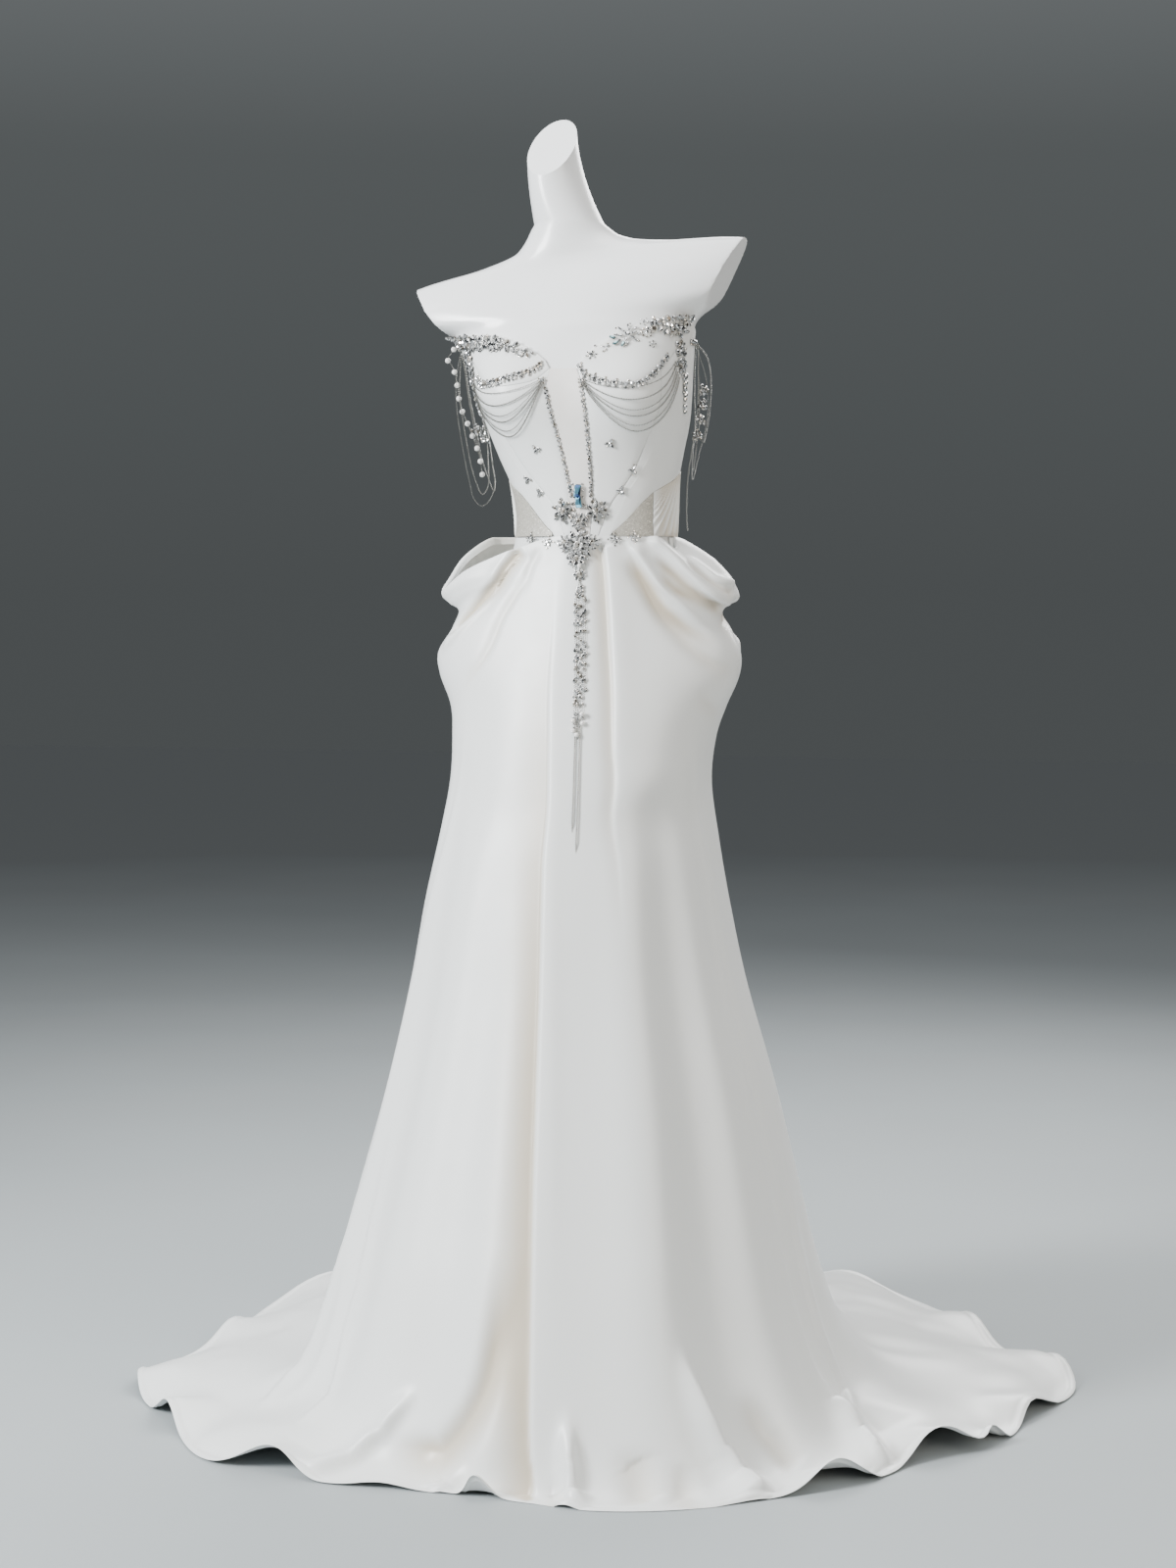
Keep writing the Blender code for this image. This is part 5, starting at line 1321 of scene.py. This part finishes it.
def buildArmDrapes():
    rimHeight, rimAngles = armDrapes["rim"]
    for side, sign in (("left", -1), ("right", 1)):
        drape = armDrapes[side]
        jewels = newSetting()
        for number, stations in enumerate(drape["chains"]):
            runChain(jewels, smoothPath(stations, 120, sign), 0.0022, 0.0011 if number else 0.0009)
        if drape["pearls"]:
            path = smoothPath(drape["pearls"], 120, sign)
            runChain(jewels, path, 0.0026, 0.0010)
            runChain(jewels, path[4:], 0.0158, 0.0038, "pearl", "pearl")
        for angle in sign * np.linspace(*rimAngles):
            place, normal = onForm(angle, rimHeight, onPanel + 0.0012), formNormal(angle, rimHeight)
            addShape(jewels, "round", place, normal, 0.0026, 0.3, "stone")
            addShape(jewels, "round", place + (0, 0, -0.0042), normal, 0.0016, 0.1, "champagne")
        for angle, height, off, reach in drape["clusters"]:
            middle, normal = onForm(sign * angle, height, off), formNormal(sign * angle, height)
            facing = unit(normal + np.array((0, -0.7, 0)))
            for number in range(armDrapes["clusterStones"]):
                offset = dice.normal(0, armDrapes["clusterSpread"], 3) * reach
                kind = ("round", "leaf", "drop", "oval")[number % 4]
                addShape(jewels, kind, middle + offset, facing, dice.uniform(*armDrapes["clusterSizes"]),
                         dice.random() * 6.3, "champagne" if kind == "oval" else "stone")
        finishJewels("armDrape" + side.capitalize(), jewels, "arm_drape_" + side)


buildTrims()
buildBrooch()
buildTassel()
buildArmDrapes()
print("jewels done")


# floor, lights and camera

studio = {
    # floor: its own pale colour near the dress; farFloorShade: the painted shade it darkens to farther away
    "floor": (0.36, 0.39, 0.40), "farFloorShade": (0.075, 0.082, 0.084), "floorSize": 14,
    # direction up from the horizon and colour of the room's soft light
    "room": ((0.50, (0.075, 0.082, 0.084)), (0.58, (0.095, 0.104, 0.106)), (0.72, (0.30, 0.32, 0.33)),
             (1.0, (0.85, 0.88, 0.90))),
    # name, place, point it faces, size, power, colour
    "lights": (
        ("key", (-2.5, -2.5, 2.5), (0, 0, 0.9), (0.9, 1.8), 330, (0.97, 0.99, 1.0)),
        ("fill", (2.8, -1.8, 1.6), (0, 0, 0.8), (1.6, 2.4), 50, (1.0, 0.90, 0.78)),
        ("back", (0.6, 3.0, 2.6), (0, 0, 0.8), (2.4, 1.6), 120, (1, 1, 1)),
        ("top", (0, -0.4, 3.6), (0, 0, 0), (2.4, 2.4), 45, (1, 1, 1)),
    ),
    # the photo's rows of pixels, its focal length and how far its horizon is off the middle, in pixels
    "photoRows": 1600, "focal": 2725, "horizon": 200,
    "cameraTurn": 14, "cameraAway": 3.6, "cameraHeight": 1.12,
}


def buildFloor():
    size = studio["floorSize"]
    mesh = bpy.data.meshes.new("floor")
    mesh.from_pydata([(-size, -size, 0), (size, -size, 0), (size, size, 0), (-size, size, 0)], [],
                     [(0, 1, 2, 3)])
    floor = bpy.data.objects.new("floor", mesh)
    bpy.context.scene.collection.objects.link(floor)
    material, tree, shader = newMaterial("pale floor")
    place = addNode(tree, "TexCoord").outputs["Object"]
    # painted shade: the floor darkens with distance from the middle, standing in for the light falling off,
    # with noise to soften the edge
    away = addNode(tree, "VectorMath", {"operation": "LENGTH"}, _0=place).outputs["Value"]
    cloud = noise(tree, 1.4)
    cloud = addNode(tree, "Math", {"operation": "MULTIPLY_ADD"}, _0=cloud, _1=0.6, _2=away).outputs[0]
    reach = addNode(tree, "MapRange", Value=cloud, _1=0.0, _2=10.0).outputs[0]
    near, farShade = studio["floor"], studio["farFloorShade"]
    tone = ramp(tree, reach, ((0.0, near), (0.16, near), (0.42, tuple(0.5 * a for a in near)), (0.8, farShade)))
    tree.links.new(tone, shader.inputs["Base Color"])
    shader.inputs["Roughness"].default_value = 0.75
    bumpChain(tree, shader, ((noise(tree, 300.0), 0.05, 0.001),))
    mesh.materials.append(material)


def buildRoom():
    world = bpy.context.scene.world or bpy.data.worlds.new("studio")
    bpy.context.scene.world = world
    world.use_nodes = True
    tree = world.node_tree
    way = addNode(tree, "TexCoord").outputs["Generated"]
    upward = addNode(tree, "SeparateXYZ", Vector=way).outputs[2]
    level = addNode(tree, "MapRange", Value=upward, _1=-1.0, _2=1.0).outputs[0]
    tree.links.new(ramp(tree, level, studio["room"]), tree.nodes["Background"].inputs["Color"])


def addLight(name, place, target, size, power, colour):
    lamp = bpy.data.lights.new(name, "AREA")
    lamp.shape = "RECTANGLE"
    lamp.size, lamp.size_y = size
    lamp.energy = power
    lamp.color = colour
    item = bpy.data.objects.new(name, lamp)
    item.location = place
    item.rotation_euler = (Vector(target) - Vector(place)).to_track_quat("-Z", "Y").to_euler()
    bpy.context.scene.collection.objects.link(item)


def addCamera():
    turn, drop = math.radians(studio["cameraTurn"]), math.atan2(studio["horizon"], studio["focal"])
    away = studio["cameraAway"]
    lens = bpy.data.cameras.new("camera")
    lens.lens = 36 * studio["focal"] / studio["photoRows"]
    lens.clip_end = 60
    item = bpy.data.objects.new("camera", lens)
    item.location = (away * math.sin(turn), -away * math.cos(turn), studio["cameraHeight"])
    item.rotation_euler = (math.pi / 2 - drop, 0, turn)
    bpy.context.scene.collection.objects.link(item)
    bpy.context.scene.camera = item


buildFloor()
buildRoom()
for light in studio["lights"]:
    addLight(*light)
addCamera()
print("studio done")
